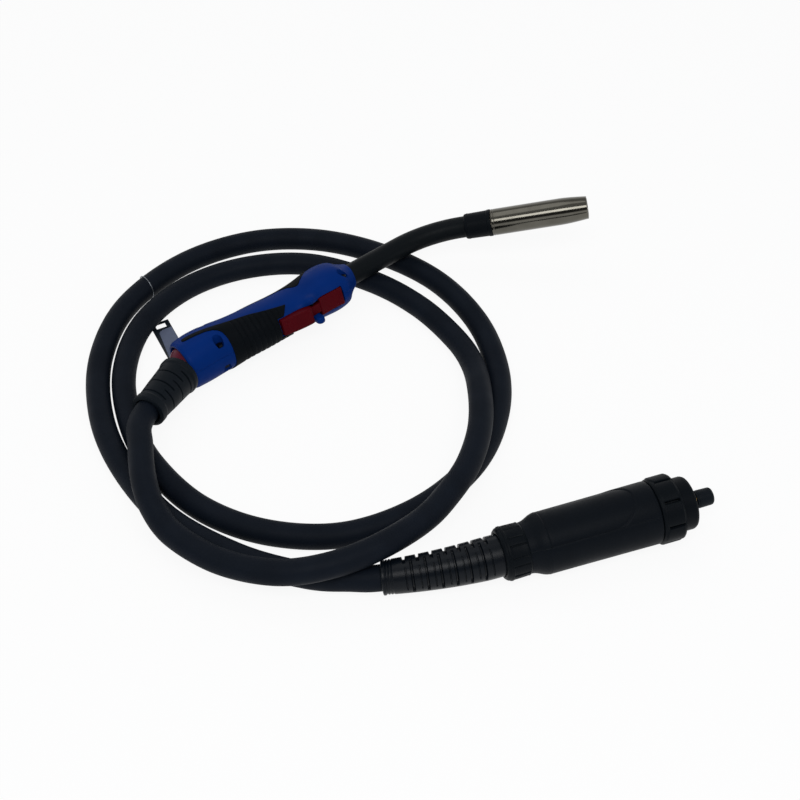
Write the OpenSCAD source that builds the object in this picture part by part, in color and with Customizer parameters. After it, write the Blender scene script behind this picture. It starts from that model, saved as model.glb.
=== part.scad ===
// Gas-shielded wire welding torch with a ball-jointed handle, a swan neck, a coiled
// coaxial cable and a central plug.
// It lies on its side on a flat surface: +X runs towards the gas nozzle, +Z is up.
// The origin is the centre of the torch's footprint, on the surface it lies on.

/* [Cable] */
// Outer diameter of the coaxial cable
cable_d = 20; // [18:0.5:20.5]

/* [Nozzle] */
// Outer diameter of the gas nozzle's body
nozzle_d = 23.6; // [22:0.2:26]
// Outer diameter of the gas nozzle's mouth
nozzle_mouth_d = 19.8; // [17:0.2:21.5]
// Length of the gas nozzle
nozzle_len = 85.5; // [78:0.5:95]
// Wall of the gas nozzle
nozzle_wall = 1.7; // [1.2:0.1:2]
// Length of the straight part of the gas nozzle, before it narrows
nozzle_straight = 60; // [50:1:66]
// Length of the insulating sleeve behind the nozzle
sleeve_len = 24; // [20:1:30]
// Outer diameter of the contact tip
tip_d = 8; // [6:0.5:9]
// Bore of the contact tip
wire_bore_d = 1.4; // [0.8:0.1:2]
// How far the contact tip ends behind the nozzle's mouth
tip_recess = 4; // [0:0.5:6]

/* [Neck] */
// Outer diameter of the neck's insulating cover
neck_d = 19; // [17:0.5:20]
// Outer diameter of the brass core tube in the neck
core_d = 13; // [10:0.5:14]
// Angle through which the neck bends
neck_bend = 40; // [30:1:50]
// Radius of the neck's bend, at its centre line
neck_bend_r = 89; // [75:1:100]
// Straight part of the neck between the handle and the bend
neck_straight = 51; // [40:1:60]

/* [Handle] */
// Length of the handle from its collar's rim to its nose
handle_len = 172; // [170:1:176]
// Diameter of the handle's hollow
hollow_d = 26; // [24:0.5:27]
// Thickness by which the soft grips stand on the shells
grip_rise = 0.8; // [0.5:0.1:1.2]
// Diameter of the shell screws
screw_d = 3; // [2.5:0.5:3]
// Diameter of the screw heads
screw_head_d = 5.6; // [5:0.2:6]

/* [Trigger] */
// Width of the trigger's finger lever
lever_w = 15.2; // [13:0.2:16]
// Width of the trigger's front plate
front_plate_w = 18; // [16:0.5:19]
// Width of the trigger's waist, between the two lugs
waist_w = 8.6; // [7:0.2:9]
// Diameter of the trigger's pin
trigger_pin_d = 3; // [2:0.5:4]

/* [Ball joint] */
// Diameter of the ball
ball_d = 35; // [34.5:0.1:35.4]
// Wall of the seat ring at the ball's widest point
seat_wall = 1.35; // [1.2:0.05:1.5]
// Diameter of the swivel boot's flange
boot_flange_d = 37; // [35:0.5:39]
// Diameter of the swivel boot's mouth
boot_mouth_d = 28; // [27:0.5:31]
// Length of the swivel boot
boot_len = 49.5; // [44:0.5:54]

/* [Plug] */
// Outer diameter of the plug's housing
housing_d = 46.5; // [45:0.5:50]
// Length of the plug's housing
housing_len = 102; // [98:1:108]
// Diameter of the collar nut over its lobes
collar_nut_d = 52; // [51:0.5:54]
// Number of lobes on the collar nut
collar_lobes = 8; // [5:1:8]
// Length of the collar nut's lobed part
collar_nut_len = 18; // [16:0.5:22]
// Diameter of the collar nut's front skirt
skirt_d = 39.4; // [38.5:0.2:42]
// Length of the collar nut's front skirt
skirt_len = 12; // [9:0.5:14]
// Diameter of the gland nut
gland_nut_d = 41.2; // [39:0.2:42]
// Length of the gland nut
gland_nut_len = 19; // [16:0.5:22]
// Diameter of the cable boot where it enters the gland nut
cable_boot_d = 32; // [30.5:0.5:33]
// Diameter of the cable boot's mouth
cable_boot_mouth_d = 25.4; // [24:0.2:27]
// Length of the cable boot
cable_boot_len = 88; // [80:1:90]
// Diameter of the plug's stem
stem_d = 10; // [8:0.5:10.5]
// Diameter of the cap on the stem
cap_d = 12.4; // [12:0.2:14]

/* [Hidden] */
$fn = 48;
gap = 0.3;      // between parts that stand clear of each other
run = 0.05;     // radial clearance of a part that turns or slides in another
fit = 0.05;     // radial clearance of a part that is seated in another

// Centre line of the cable, from the ball's centre to inside the plug. It leaves the
// boot, crosses the first lap, runs round twice and ends in the plug.
ROUTE = [
    [-150.5, -48.5, 21.9], [-180, -115, 29], [-178, -149, 32], [-171, -184, 31.5],
    [-161, -209, 29], [-143, -232, 26], [-108, -254, 24], [-66, -267, 28], [-28, -265, 33],
    [8, -249, 34], [41, -222, 31.5], [61, -196, 31.5], [77, -166, 31], [87, -129, 30],
    [89, -88, 25], [85, -45, 15.5], [71, -8, 10.5], [40, 33, 10], [-3, 66, 10],
    [-60, 88, 10], [-118, 82, 10.3], [-167, 54, 10.7], [-199, 8, 10.6], [-207, -50, 10.3],
    [-193, -109, 10], [-168, -154, 10], [-128, -194, 10], [-76, -217, 10], [-17, -219, 10],
    [39, -194, 10], [81, -151, 10], [102, -101, 10], [106, -47, 10], [91, 13, 10],
    [56, 66, 10], [4, 103, 10], [-55, 122, 10], [-116, 118, 10], [-173, 87, 10.4],
    [-215, 33, 10.6], [-229, -29, 10.3], [-221, -92, 10], [-197, -148, 10],
    [-155, -202, 10], [-98, -239, 10], [-45, -257, 10.4], [-12, -261, 12.4],
    [10, -262.5, 15], [54, -257.5, 19.2], [97, -247, 21.8], [135, -235, 23.4]
];

// Where the torch and the plug lie
ball_at = ROUTE[0];
swivel_dir = ROUTE[0] - ROUTE[1];
swivel_yaw = atan2(swivel_dir[1], swivel_dir[0]);
swivel_pitch = atan2(swivel_dir[2], norm([swivel_dir[0], swivel_dir[1]]));
handle_yaw = 37.5;
handle_pitch = 2.7;
trigger_tilt = 17;      // of the trigger's face above the horizontal
plug_at = ROUTE[49];
plug_yaw = 17.4;
plug_pitch = 2.3;
seam_tilt = -43;        // of the housing's parting plane
boot_bend_r = 336;      // of the cable boot's centre line, as it lies
boot_roll = -16;        // of the plane it bends in

// Handle, along its axis from the ball's centre
rim_x = -5;
nose_x = rim_x + handle_len;
seat_x0 = rim_x + 1;
seat_x1 = 8;
seat_r = ball_d / 2 + seat_wall;
lip_r = ball_d / 2 - 0.4;
hollow_r = hollow_d / 2;
well_end = 77.5;
lever_x0 = 79.5;
lever_x1 = 107.6;
pivot_x = 112.5;
pivot_z = -20;
plate_x0 = 117.4;
plate_x1 = 143.6;
lever_under_z = -15.5;
spring_shelf_z = -11.5;
spring_foot_z = -19.3;
switch_x0 = 87.4;
switch_pegs = [switch_x0 + 2.2, switch_x0 + 10.6];
plunger_x = switch_x0 + 6.4;
plate_under_z = -18.3;
face_z = -24.5;
neck_seat_x = 128;
neck_flange_x = 134;
neck_flange_t = 4;
neck_flange_r = neck_d / 2 + 3;
nut_x0 = 100.5;
nut_x1 = 118;
lead_r = 5.2;
lead_x0 = 15;
bend_x = nose_x + neck_straight;

// Superelliptic sections of the handle: half width, depth to the back and depth to
// the trigger's side, each at its place along the axis
HALF_WIDTH = [
    [rim_x, 20.6], [8, 21.6], [25, 21], [45, 19], [70, 18], [92, 17.4], [110, 18],
    [128, 19.6], [140, 20], [150, 18.2], [nose_x - 9, 15], [nose_x - 4, 12.4],
    [nose_x, 10.8]
];
BACK = [
    [rim_x, 21], [8, 24.3], [25, 23.8], [45, 20.5], [70, 18], [92, 16], [108, 16.8],
    [125, 20.5], [138, 22.8], [150, 20.5], [nose_x - 9, 16], [nose_x - 4, 12.8],
    [nose_x, 10.8]
];
FRONT = [
    [rim_x, 20.6], [8, 19.4], [25, 19], [45, 20.5], [65, 23], [80, 23.6], [100, 24],
    [120, 24.2], [138, 25], [150, 22.8], [nose_x - 9, 18], [nose_x - 4, 13.6],
    [nose_x, 10.8]
];
roundness = 2.25;       // exponent of the sections, 2 is an ellipse

// Edges of the soft grips: place along the axis, and angle from the trigger's side
GRIP_FROM = [
    [3, 88], [12, 86.5], [22, 80], [28, 72], [32.4, 60], [32.5, 0.1], [77.2, 0.1],
    [77.4, 26], [88, 28], [94, 49]
];
GRIP_TO = [[3, 94], [20, 94], [51, 92], [70, 71], [94, 51]];
THUMB_FROM = [
    [42, 165], [60, 128], [86, 120], [103, 93], [110, 83], [118, 90], [126, 104],
    [134, 122], [138, 150]
];

// Neck end, along the nozzle's axis from the back of the insulating sleeve
neck_end_x = 12;
seat_front_x = sleeve_len + 22;
nozzle_x = sleeve_len + gap;
mouth_x = nozzle_x + nozzle_len;
nozzle_bore_r = nozzle_d / 2 - nozzle_wall;
holder_x1 = seat_front_x + 14;
holder_r = 6;
tip_x1 = mouth_x - tip_recess;
liner_r = 2.5;
after_bend = 3;

// Ball joint, along the cable's axis from the ball's centre
tail_r = cable_d / 2 + 1;
tail_x = -27;
boot_x = -16.3;
ferrule_x0 = 3;
ferrule_x1 = 9;
ball_front = 11;

// Plug, along its axis from the back of the gland nut
housing_x0 = gland_nut_len + 0.2;
cone_len = 15;
housing_x1 = housing_x0 + housing_len;
collar_x0 = housing_x1 + gap;
collar_x1 = collar_x0 + collar_nut_len;
skirt_x1 = collar_x1 + skirt_len;
housing_r0 = gland_nut_d / 2 - 1;
housing_r = housing_d / 2;
plug_core_r = 16;
screw_row_y = (housing_r + plug_core_r) / 2;
face_r = 14;
face_x1 = skirt_x1 - 6;
web_x1 = collar_x0 + 8.5;
cap_x0 = skirt_x1 + 5;
cap_x1 = cap_x0 + 14;
pin_r = 2;
pin_offset = 9.5;
cable_end_x = 40;

// ---- Places ----

module at_handle() {
    translate(ball_at)
        rotate([-(90 + trigger_tilt), -handle_pitch, handle_yaw]) children();
}

module at_neck_end() {
    at_handle()
        translate([
            bend_x + neck_bend_r * sin(neck_bend) + after_bend * cos(neck_bend), 0,
            -neck_bend_r * (1 - cos(neck_bend)) - after_bend * sin(neck_bend)
        ])
            rotate([0, neck_bend, 0]) children();
}

module at_ball() {
    translate(ball_at) rotate([0, -swivel_pitch, swivel_yaw]) children();
}

module at_plug() {
    translate(plug_at) rotate([0, -plug_pitch, plug_yaw]) children();
}

// ---- Shapes ----

// Cylinder or cone along X
module rod(x0, x1, r, r_end = undef) {
    translate([x0, 0, 0]) rotate([0, 90, 0])
        cylinder(h = x1 - x0, r1 = r, r2 = is_undef(r_end) ? r : r_end);
}

// Tube along X
module tube(x0, x1, r, bore_r) {
    difference() {
        rod(x0, x1, r);
        rod(x0 - 1, x1 + 1, bore_r);
    }
}

// Solid of revolution about X, from points [x, r]
module turned(points) {
    rotate([0, 90, 0]) rotate_extrude()
        polygon([for (p = points) [p[1], p[0]]]);
}

// Ring sector round X, from angle a over the given sweep, counted from -Y upwards
module sector(x0, x1, r0, r1, a, sweep) {
    rotate([-a, 0, 0]) rotate([0, 90, 0]) rotate([0, 0, -90])
        rotate_extrude(angle = sweep) translate([r0, x0]) square([r1 - r0, x1 - x0]);
}

// Value at x of the smooth curve through a table of [x, value]
function span_of(t, x, i = 0) =
    i >= len(t) - 2 || x < t[i + 1][0] ? i : span_of(t, x, i + 1);
function slope_at(t, i) =
    let (a = max(i - 1, 0), b = min(i + 1, len(t) - 1))
    (t[b][1] - t[a][1]) / (t[b][0] - t[a][0]);
function curve(t, x) =
    let (
        i = span_of(t, x),
        h = t[i + 1][0] - t[i][0],
        u = min(max((x - t[i][0]) / h, 0), 1)
    )
    t[i][1] * (1 + 2 * u) * pow(1 - u, 2) + h * slope_at(t, i) * u * pow(1 - u, 2)
        + t[i + 1][1] * u * u * (3 - 2 * u) + h * slope_at(t, i + 1) * u * u * (u - 1);

// Point of the handle's surface at x and at angle a from the trigger's side
function handle_point(x, a, rise = 0) =
    let (
        e = 2 / roundness,
        w = curve(HALF_WIDTH, x) + rise,
        d = (a < 90 ? curve(FRONT, x) : curve(BACK, x)) + rise
    )
    [x, w * pow(abs(sin(a)), e), (a < 90 ? -1 : 1) * d * pow(abs(cos(a)), e)];

// Closed solid through rings of points: each ring is a list of the same length
module lofted(rings) {
    n = len(rings[0]);
    m = len(rings);
    polyhedron(
        [for (ring = rings) each ring],
        [
            [for (k = [0:n - 1]) k],
            for (i = [0:m - 2], k = [0:n - 1]) let (l = (k + 1) % n)
                each [
                    [i * n + k, (i + 1) * n + k, (i + 1) * n + l],
                    [i * n + k, (i + 1) * n + l, i * n + l]
                ],
            [for (k = [n - 1:-1:0]) (m - 1) * n + k]
        ]
    );
}

// Tube swept along a line of points, with its rings square to the line
function unit(v) = v / norm(v);
function spline_point(p, i, u) =
    let (
        a = i > 0 ? p[i - 1] : 2 * p[0] - p[1],
        d = i < len(p) - 2 ? p[i + 2] : 2 * p[len(p) - 1] - p[len(p) - 2]
    )
    (2 * p[i] + (p[i + 1] - a) * u + (2 * a - 5 * p[i] + 4 * p[i + 1] - d) * u * u
        + (3 * p[i] - a - 3 * p[i + 1] + d) * u * u * u) / 2;
module swept(line, r, sides, up) {
    last = len(line) - 1;
    lofted([
        for (i = [0:last])
            let (
                t = unit(line[min(i + 1, last)] - line[max(i - 1, 0)]),
                s = unit(cross(t, up)),
                w = cross(s, t)
            )
            [for (k = [0:sides - 1])
                line[i] + r * (cos(360 * k / sides) * s + sin(360 * k / sides) * w)]
    ]);
}

// Coil spring about Z from z = 0 up
module coil_spring(mean_r, wire_r, height, turns) {
    steps = 10;
    swept(
        [for (i = [0:turns * steps])
            [mean_r * cos(360 * i / steps), mean_r * sin(360 * i / steps),
                wire_r + (height - 2 * wire_r) * i / (turns * steps)]],
        wire_r, 5, [0, 0, 1]
    );
}

// ---- Neck and nozzle ----

// Straight, bend and straight of the neck, solid, from x0 to the given end
module neck_run(r, x0, end) {
    rod(x0, bend_x, r);
    translate([bend_x, 0, -neck_bend_r]) {
        rotate([-90, -90, 0])
            rotate_extrude(angle = neck_bend) translate([neck_bend_r, 0]) circle(r);
        rotate([0, neck_bend, 0]) translate([0, 0, neck_bend_r])
            rod(0, after_bend + end, r);
    }
}

module neck_cover() {
    color("#17181a") at_handle() difference() {
        union() {
            neck_run(neck_d / 2, neck_seat_x, neck_end_x);
            rod(neck_flange_x, neck_flange_x + neck_flange_t, neck_flange_r);
        }
        neck_run(core_d / 2 + fit, neck_seat_x - 1, neck_end_x + 1);
    }
}

module neck_core() {
    color("#b08d57") at_handle() difference() {
        neck_run(core_d / 2, nut_x0 + 5, neck_end_x + 1.8);
        neck_run(liner_r + fit, nut_x0 + 4, neck_end_x + 3);
    }
}

module wire_liner() {
    color("#8f9296") at_handle() difference() {
        neck_run(liner_r, nut_x0 - 30, seat_front_x - 2);
        neck_run(liner_r - 1.3, nut_x0 - 31, seat_front_x);
    }
}

module neck_nut() {
    color("#b08d57") at_handle() difference() {
        translate([nut_x0, 0, 0]) rotate([0, 90, 0])
            cylinder(h = nut_x1 - nut_x0, r = core_d / 2 + 2.4, $fn = 6);
        rod(nut_x0 - 1, nut_x1 + 1, core_d / 2 + fit);
    }
}

module nozzle_sleeve() {
    r1 = nozzle_d / 2 + 0.2;
    r0 = r1 - 0.5;
    color("#151618") at_neck_end() difference() {
        turned([[0, 0], [0, r0 - 0.8], [0.8, r0], [sleeve_len, r1], [sleeve_len, 0]]);
        rod(-1, neck_end_x + fit, neck_d / 2 + fit);
        rod(0, sleeve_len + 1, 8.5 + fit);
    }
}

module nozzle_seat() {
    color("#c9b691") at_neck_end() difference() {
        union() {
            rod(neck_end_x + 2 * fit, sleeve_len + 1, 8.5);
            rod(sleeve_len + 2 * fit, seat_front_x, nozzle_bore_r - run);
        }
        rod(0, seat_front_x + 1, holder_r + fit);
        rod(0, neck_end_x + 1.9, core_d / 2 + fit);
        tube(seat_front_x - 6, seat_front_x - 4, nozzle_bore_r + 1, nozzle_bore_r - 0.9);
    }
}

module snap_ring() {
    color("#a9adb2") at_neck_end()
        sector(seat_front_x - 5.8, seat_front_x - 4.2, nozzle_bore_r - 0.85,
            nozzle_bore_r - run, 15, 330);
}

module tip_holder() {
    color("#b08d57") at_neck_end() difference() {
        union() {
            rod(neck_end_x + 2, seat_front_x + 1, holder_r);
            rod(seat_front_x + fit, holder_x1, holder_r + 0.6);
        }
        rod(neck_end_x + 1, seat_front_x, liner_r + fit);
        rod(seat_front_x - 1, holder_x1 + 1, 3 + fit);
        for (a = [0:60:300]) rotate([a, 0, 0])
            translate([seat_front_x + 5, 0, 0]) cylinder(h = 10, r = 1.2);
    }
}

module contact_tip() {
    shoulder = 5;
    color("#b87333") at_neck_end() difference() {
        turned([
            [holder_x1 - 9, 0], [holder_x1 - 9, 3], [holder_x1 + fit, 3],
            [holder_x1 + fit, tip_d / 2], [tip_x1 - shoulder, tip_d / 2],
            [tip_x1, tip_d / 2 - 1.2], [tip_x1, 0]
        ]);
        rod(holder_x1 - 10, tip_x1 + 1, wire_bore_d / 2);
    }
}

module gas_nozzle() {
    rb = nozzle_d / 2;
    rm = nozzle_mouth_d / 2;
    xs = nozzle_x + nozzle_straight;
    bend_at = xs + (mouth_x - xs) * 0.6;
    color("#8f9090") at_neck_end() turned([
        [nozzle_x, rb - 0.4], [nozzle_x + 0.6, rb], [xs, rb],
        [bend_at, rb * 0.45 + rm * 0.55], [mouth_x - 0.8, rm], [mouth_x, rm - 0.5],
        [mouth_x, rm - nozzle_wall], [bend_at, rb * 0.45 + rm * 0.55 - nozzle_wall],
        [xs, nozzle_bore_r], [nozzle_x, nozzle_bore_r]
    ]);
}

// ---- Handle ----

STATIONS = [
    for (x = [rim_x:6.5:130]) x, 133, 137, 141, 145, 149, 153, nose_x - 10,
    nose_x - 7, nose_x - 4, nose_x - 2, nose_x
];
SCREWS = [[24, 14.4], [24, -14.4], [nose_x - 16, -13.6]];
screw_seat_y = 8.6;

// Half of the handle's outer body, on the +Y side
module half_body() {
    steps = 14;
    lofted([for (x = STATIONS) [for (k = [0:steps]) handle_point(x, 180 * k / steps)]]);
}

// Everything that the two shells leave room for
module handle_hollow() {
    seat_back = seat_x1 + gap;
    rotate([0, 90, 0]) rotate_extrude() {
        translate([0, rim_x - 1]) square([lip_r + 0.1, 4]);
        translate([0, seat_x0]) square([seat_r + run, seat_back - seat_x0]);
        polygon([
            [0, seat_back - 1], [ball_d / 2 - 1.4, seat_back - 1],
            [ball_d / 2 - 1.4, seat_back + 2], [hollow_r, seat_back + 11],
            [hollow_r, nut_x1 + 2], [0, nut_x1 + 2]
        ]);
        translate([0, nut_x1]) square([neck_d / 2 + fit, nose_x + 1 - nut_x1]);
        translate([0, neck_flange_x - fit])
            square([neck_flange_r + fit, neck_flange_t + 2 * fit]);
    }
    // Wells of the finger lever and of the front plate
    translate([well_end, -lever_w / 2 - 0.6, -40])
        cube([plate_x0 - 1 - well_end, lever_w + 1.2, 40 + lever_under_z + 3.7]);
    translate([plate_x0 - 1.2, -front_plate_w / 2 - 0.6, -40])
        cube([plate_x1 - plate_x0 + 2.2, front_plate_w + 1.2, 40 + plate_under_z + 0.8]);
    for (s = SCREWS) translate([s[0], 0, s[1]]) rotate([90, 0, 0]) {
        cylinder(h = 60, r = screw_d / 2 + run, center = true);
    }
}

// Lug beside the trigger's waist
module trigger_lug() {
    y0 = waist_w / 2 + gap;
    translate([pivot_x - 3.9, y0, -24.2]) cube([7.8, 11 - y0, 12]);
    translate([pivot_x, 11, -24.2]) rotate([90, 0, 0]) cylinder(h = 11 - y0, r = 3.9);
}

// One shell on the +Y side, with pockets of the given radius at its screws
module half_shell(pocket_r) {
    difference() {
        union() {
            difference() {
                half_body();
                handle_hollow();
            }
            trigger_lug();
            // Shelf that the trigger's spring stands on
            translate([81.5, 0, spring_shelf_z]) cube([4.2, 9.5, 1.8]);
        }
        for (s = SCREWS) translate([s[0], screw_seat_y, s[1]]) rotate([-90, 0, 0])
            cylinder(h = 30, r = pocket_r);
        translate([pivot_x, 10 + fit, pivot_z]) rotate([90, 0, 0])
            cylinder(h = 11, r = trigger_pin_d / 2 + fit);
    }
}

module handle_shell_left() {
    color("#2f6fc4") at_handle() {
        half_shell(screw_head_d / 2 + 0.4);
        for (x = switch_pegs) translate([x, 9.5, -10.2]) rotate([90, 0, 0])
            cylinder(h = 12, r = 1);
    }
}

module handle_shell_right() {
    color("#2f6fc4") at_handle() mirror([0, 1, 0]) half_shell(screw_d + 0.3);
}

// Soft pad on the handle's surface between two edges, on the +Y side
module pad(x0, x1, from, to) {
    across = 7;
    along = 20;
    rings = [
        for (i = [0:along])
            let (
                x = x0 + (x1 - x0) * i / along,
                a = lookup(x, from),
                b = lookup(x, to)
            )
            concat(
                [for (k = [0:across]) handle_point(x, a + (b - a) * k / across, grip_rise)],
                [for (k = [across:-1:0]) handle_point(x, a + (b - a) * k / across, 0.22)]
            )
    ];
    lofted(rings);
}

module grip_half() {
    pad(3.2, 32.4, GRIP_FROM, GRIP_TO);
    pad(32.5, 77, GRIP_FROM, GRIP_TO);
    pad(77.5, 93.5, GRIP_FROM, GRIP_TO);
}

module thumb_half() {
    pad(42.5, 137.5, THUMB_FROM, [[0, 179.9], [200, 179.9]]);
}

module grip_left() {
    color("#232528") at_handle() grip_half();
}

module grip_right() {
    color("#232528") at_handle() mirror([0, 1, 0]) grip_half();
}

module thumb_pad_left() {
    color("#232528") at_handle() thumb_half();
}

module thumb_pad_right() {
    color("#232528") at_handle() mirror([0, 1, 0]) thumb_half();
}

module shell_screws() {
    color("#2b2d30") at_handle() for (s = SCREWS)
        translate([s[0], screw_seat_y, s[1]]) rotate([90, 0, 0]) {
            cylinder(h = 2 * screw_seat_y + 2.6, r = screw_d / 2);
            difference() {
                translate([0, 0, -2.4]) cylinder(h = 2.4, r = screw_head_d / 2);
                translate([0, 0, -3]) cylinder(h = 1.8, r = 1.4, $fn = 6);
            }
        }
}

module shell_nuts() {
    color("#a9adb2") at_handle() for (s = SCREWS)
        translate([s[0], -screw_seat_y, s[1]]) rotate([90, 0, 0]) difference() {
            cylinder(h = 2.4, r = screw_d, $fn = 6);
            translate([0, 0, -1]) cylinder(h = 5, r = screw_d / 2 + fit);
        }
}

// ---- Trigger and switch ----

// Plate in the XZ plane, of width w, from points [x, z]
module profile(points, w) {
    translate([0, w / 2, 0]) rotate([90, 0, 0]) linear_extrude(w) polygon(points);
}

module trigger() {
    ridge = 0.5;
    color("#b5303c") at_handle() difference() {
        union() {
            profile([
                [lever_x0, lever_under_z], [lever_x1, lever_under_z],
                [lever_x1, face_z - 0.8], [101, face_z + 0.2], [92, face_z],
                [86, face_z - 0.5], [84.5, face_z - 0.4], [lever_x0, -19.5]
            ], lever_w);
            profile([
                [plate_x0, plate_under_z], [plate_x1, plate_under_z],
                [plate_x1, face_z - 0.9], [137, face_z + 0.6], [130, face_z + 1.3],
                [123, face_z + 0.8], [plate_x0, face_z - 0.5]
            ], front_plate_w);
            profile([
                [lever_x1 - 1, -16.5], [plate_x0 + 1, -18.4], [plate_x0 + 1, -23],
                [pivot_x, -23.4], [lever_x1 - 1, -23.6]
            ], waist_w);
        }
        translate([pivot_x, 0, pivot_z]) rotate([90, 0, 0])
            cylinder(h = 40, r = trigger_pin_d / 2 + run, center = true);
        translate([84.5, 0, lever_under_z - 6]) cylinder(h = 10, r = 3.1);
        // Grip ridges, as shallow grooves across the finger faces
        for (i = [0:6]) {
            translate([88 + 2.4 * i, 0, face_z - ridge]) rotate([90, 0, 0])
                cylinder(h = lever_w - 3, r = 0.8, center = true);
            translate([121 + 2.6 * i, 0, face_z + 0.4]) rotate([90, 0, 0])
                cylinder(h = front_plate_w - 3, r = 0.8, center = true);
        }
    }
}

module trigger_pin() {
    color("#a9adb2") at_handle() translate([pivot_x, 0, pivot_z]) rotate([90, 0, 0])
        cylinder(h = 20, r = trigger_pin_d / 2, center = true);
}

module trigger_spring() {
    color("#a9adb2") at_handle() translate([84.5, 0, spring_foot_z])
        coil_spring(2.1, 0.4, spring_shelf_z - spring_foot_z - fit, 5);
}

module microswitch() {
    color("#3a3d42") at_handle() difference() {
        translate([switch_x0, -2.9, -13.4]) cube([12.8, 5.8, 6.6]);
        for (x = switch_pegs) translate([x, 0, -10.2]) rotate([90, 0, 0])
            cylinder(h = 10, r = 1 + fit, center = true);
        translate([plunger_x, 0, -14]) cylinder(h = 3.6, r = 1 + run);
    }
}

module switch_plunger() {
    color("#c9302f") at_handle() translate([plunger_x, 0, 0]) {
        translate([0, 0, -14.6]) cylinder(h = 2, r = 1);
        translate([0, 0, -14.6]) sphere(r = 0.8);
    }
}

module switch_wires() {
    color("#d8d8d4") at_handle() for (y = [-1.7, 1.7])
        translate([0, y, -8.4]) rod(30, switch_x0, 0.8);
}

module core_lead() {
    color("#4a4038") at_handle() tube(lead_x0, nut_x0 + 4, lead_r, liner_r + 0.3);
}

// ---- Ball joint ----

module ball_seat() {
    color("#d9d9d2") at_handle() rotate([0, 90, 0]) rotate_extrude() difference() {
        translate([ball_d / 4, seat_x0 + fit])
            square([seat_r - ball_d / 4, seat_x1 - seat_x0 - fit]);
        circle(ball_d / 2 + run);
    }
}

module swivel_ball() {
    color("#c23640") at_ball() difference() {
        union() {
            intersection() {
                sphere(ball_d / 2);
                rod(-ball_d, ball_front, ball_d);
            }
            rod(tail_x, 0, tail_r);
        }
        rod(tail_x - 1, ball_front + 1, cable_d / 2 + 0.15);
        rod(ferrule_x0 - fit, ball_front + 1, cable_d / 2 + 3 + run);
    }
}

module cable_ferrule() {
    color("#b08d57") at_ball()
        tube(ferrule_x0, ferrule_x1, cable_d / 2 + 3, cable_d / 2 + fit);
}

module swivel_boot() {
    rf = boot_flange_d / 2;
    rm = boot_mouth_d / 2;
    end = boot_x - boot_len;
    slots = 6;
    color("#1e2022") at_ball() difference() {
        turned([
            [end, 0], [end, rm - 0.8], [end + 0.8, rm], [end + 3, rm],
            [boot_x - 6, rf - 1.2], [boot_x - 4.6, rf - 0.2], [boot_x - 1.2, rf],
            [boot_x, rf - 1.2], [boot_x, 0]
        ]);
        rod(tail_x - 0.1, boot_x + 1, tail_r + fit);
        rod(end - 1, tail_x + 1, cable_d / 2 + 0.6);
        rod(end - 0.1, end + 4, rm - 1.8, cable_d / 2 + 0.6);
        // Rows of arc slots, each turned against its neighbour
        for (i = [0:slots - 1], k = [0:1]) {
            x = boot_x - 9.5 - i * (boot_len - 16) / (slots - 1);
            sector(x, x + 0.9, cable_d / 2 + 2.4, rf + 2, 90 * (i % 2) + 180 * k, 130);
        }
    }
}

// ---- Cable ----

module power_cable() {
    start = ROUTE[0] + unit(swivel_dir) * (ferrule_x1 - 0.5);
    pieces = len(ROUTE) - 2;
    line = concat(
        [start],
        [for (i = [1:pieces]) each
            norm(ROUTE[i + 1] - ROUTE[i]) > 42
                ? [ROUTE[i], spline_point(ROUTE, i, 0.5)] : [ROUTE[i]]],
        [ROUTE[pieces + 1]]
    );
    color("#2a2c2f") swept(line, cable_d / 2, 10, [0, 0, 1]);
}

// Wire tie round the outer lap, with its twisted end
module coil_tie() {
    wire_r = 0.5;
    r = cable_d / 2 + 0.1;
    color("#3b3d40") translate([-201, 57, 10.6]) rotate([0, 0, 54]) {
        rotate([0, 90, 0]) rotate_extrude() translate([r, 0]) circle(wire_r);
        rotate([-60, 0, 0]) translate([0, 0, r + 0.4]) rotate([0, -65, 0])
            cylinder(h = 7, r = 2 * wire_r);
    }
}

// Identification tag on a strap, under the inner lap
module hang_tag() {
    wide = 17;
    long = 50;
    color("#c9ccd0") translate([-185.6, 17.9, 0]) rotate([0, 0, 27]) difference() {
        translate([-wide / 2, 5 - long, 0]) cube([wide, long, 0.5]);
        translate([-4.5, -2.8, -1]) cube([9, 4.2, 3]);
    }
}

// ---- Plug ----

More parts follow.
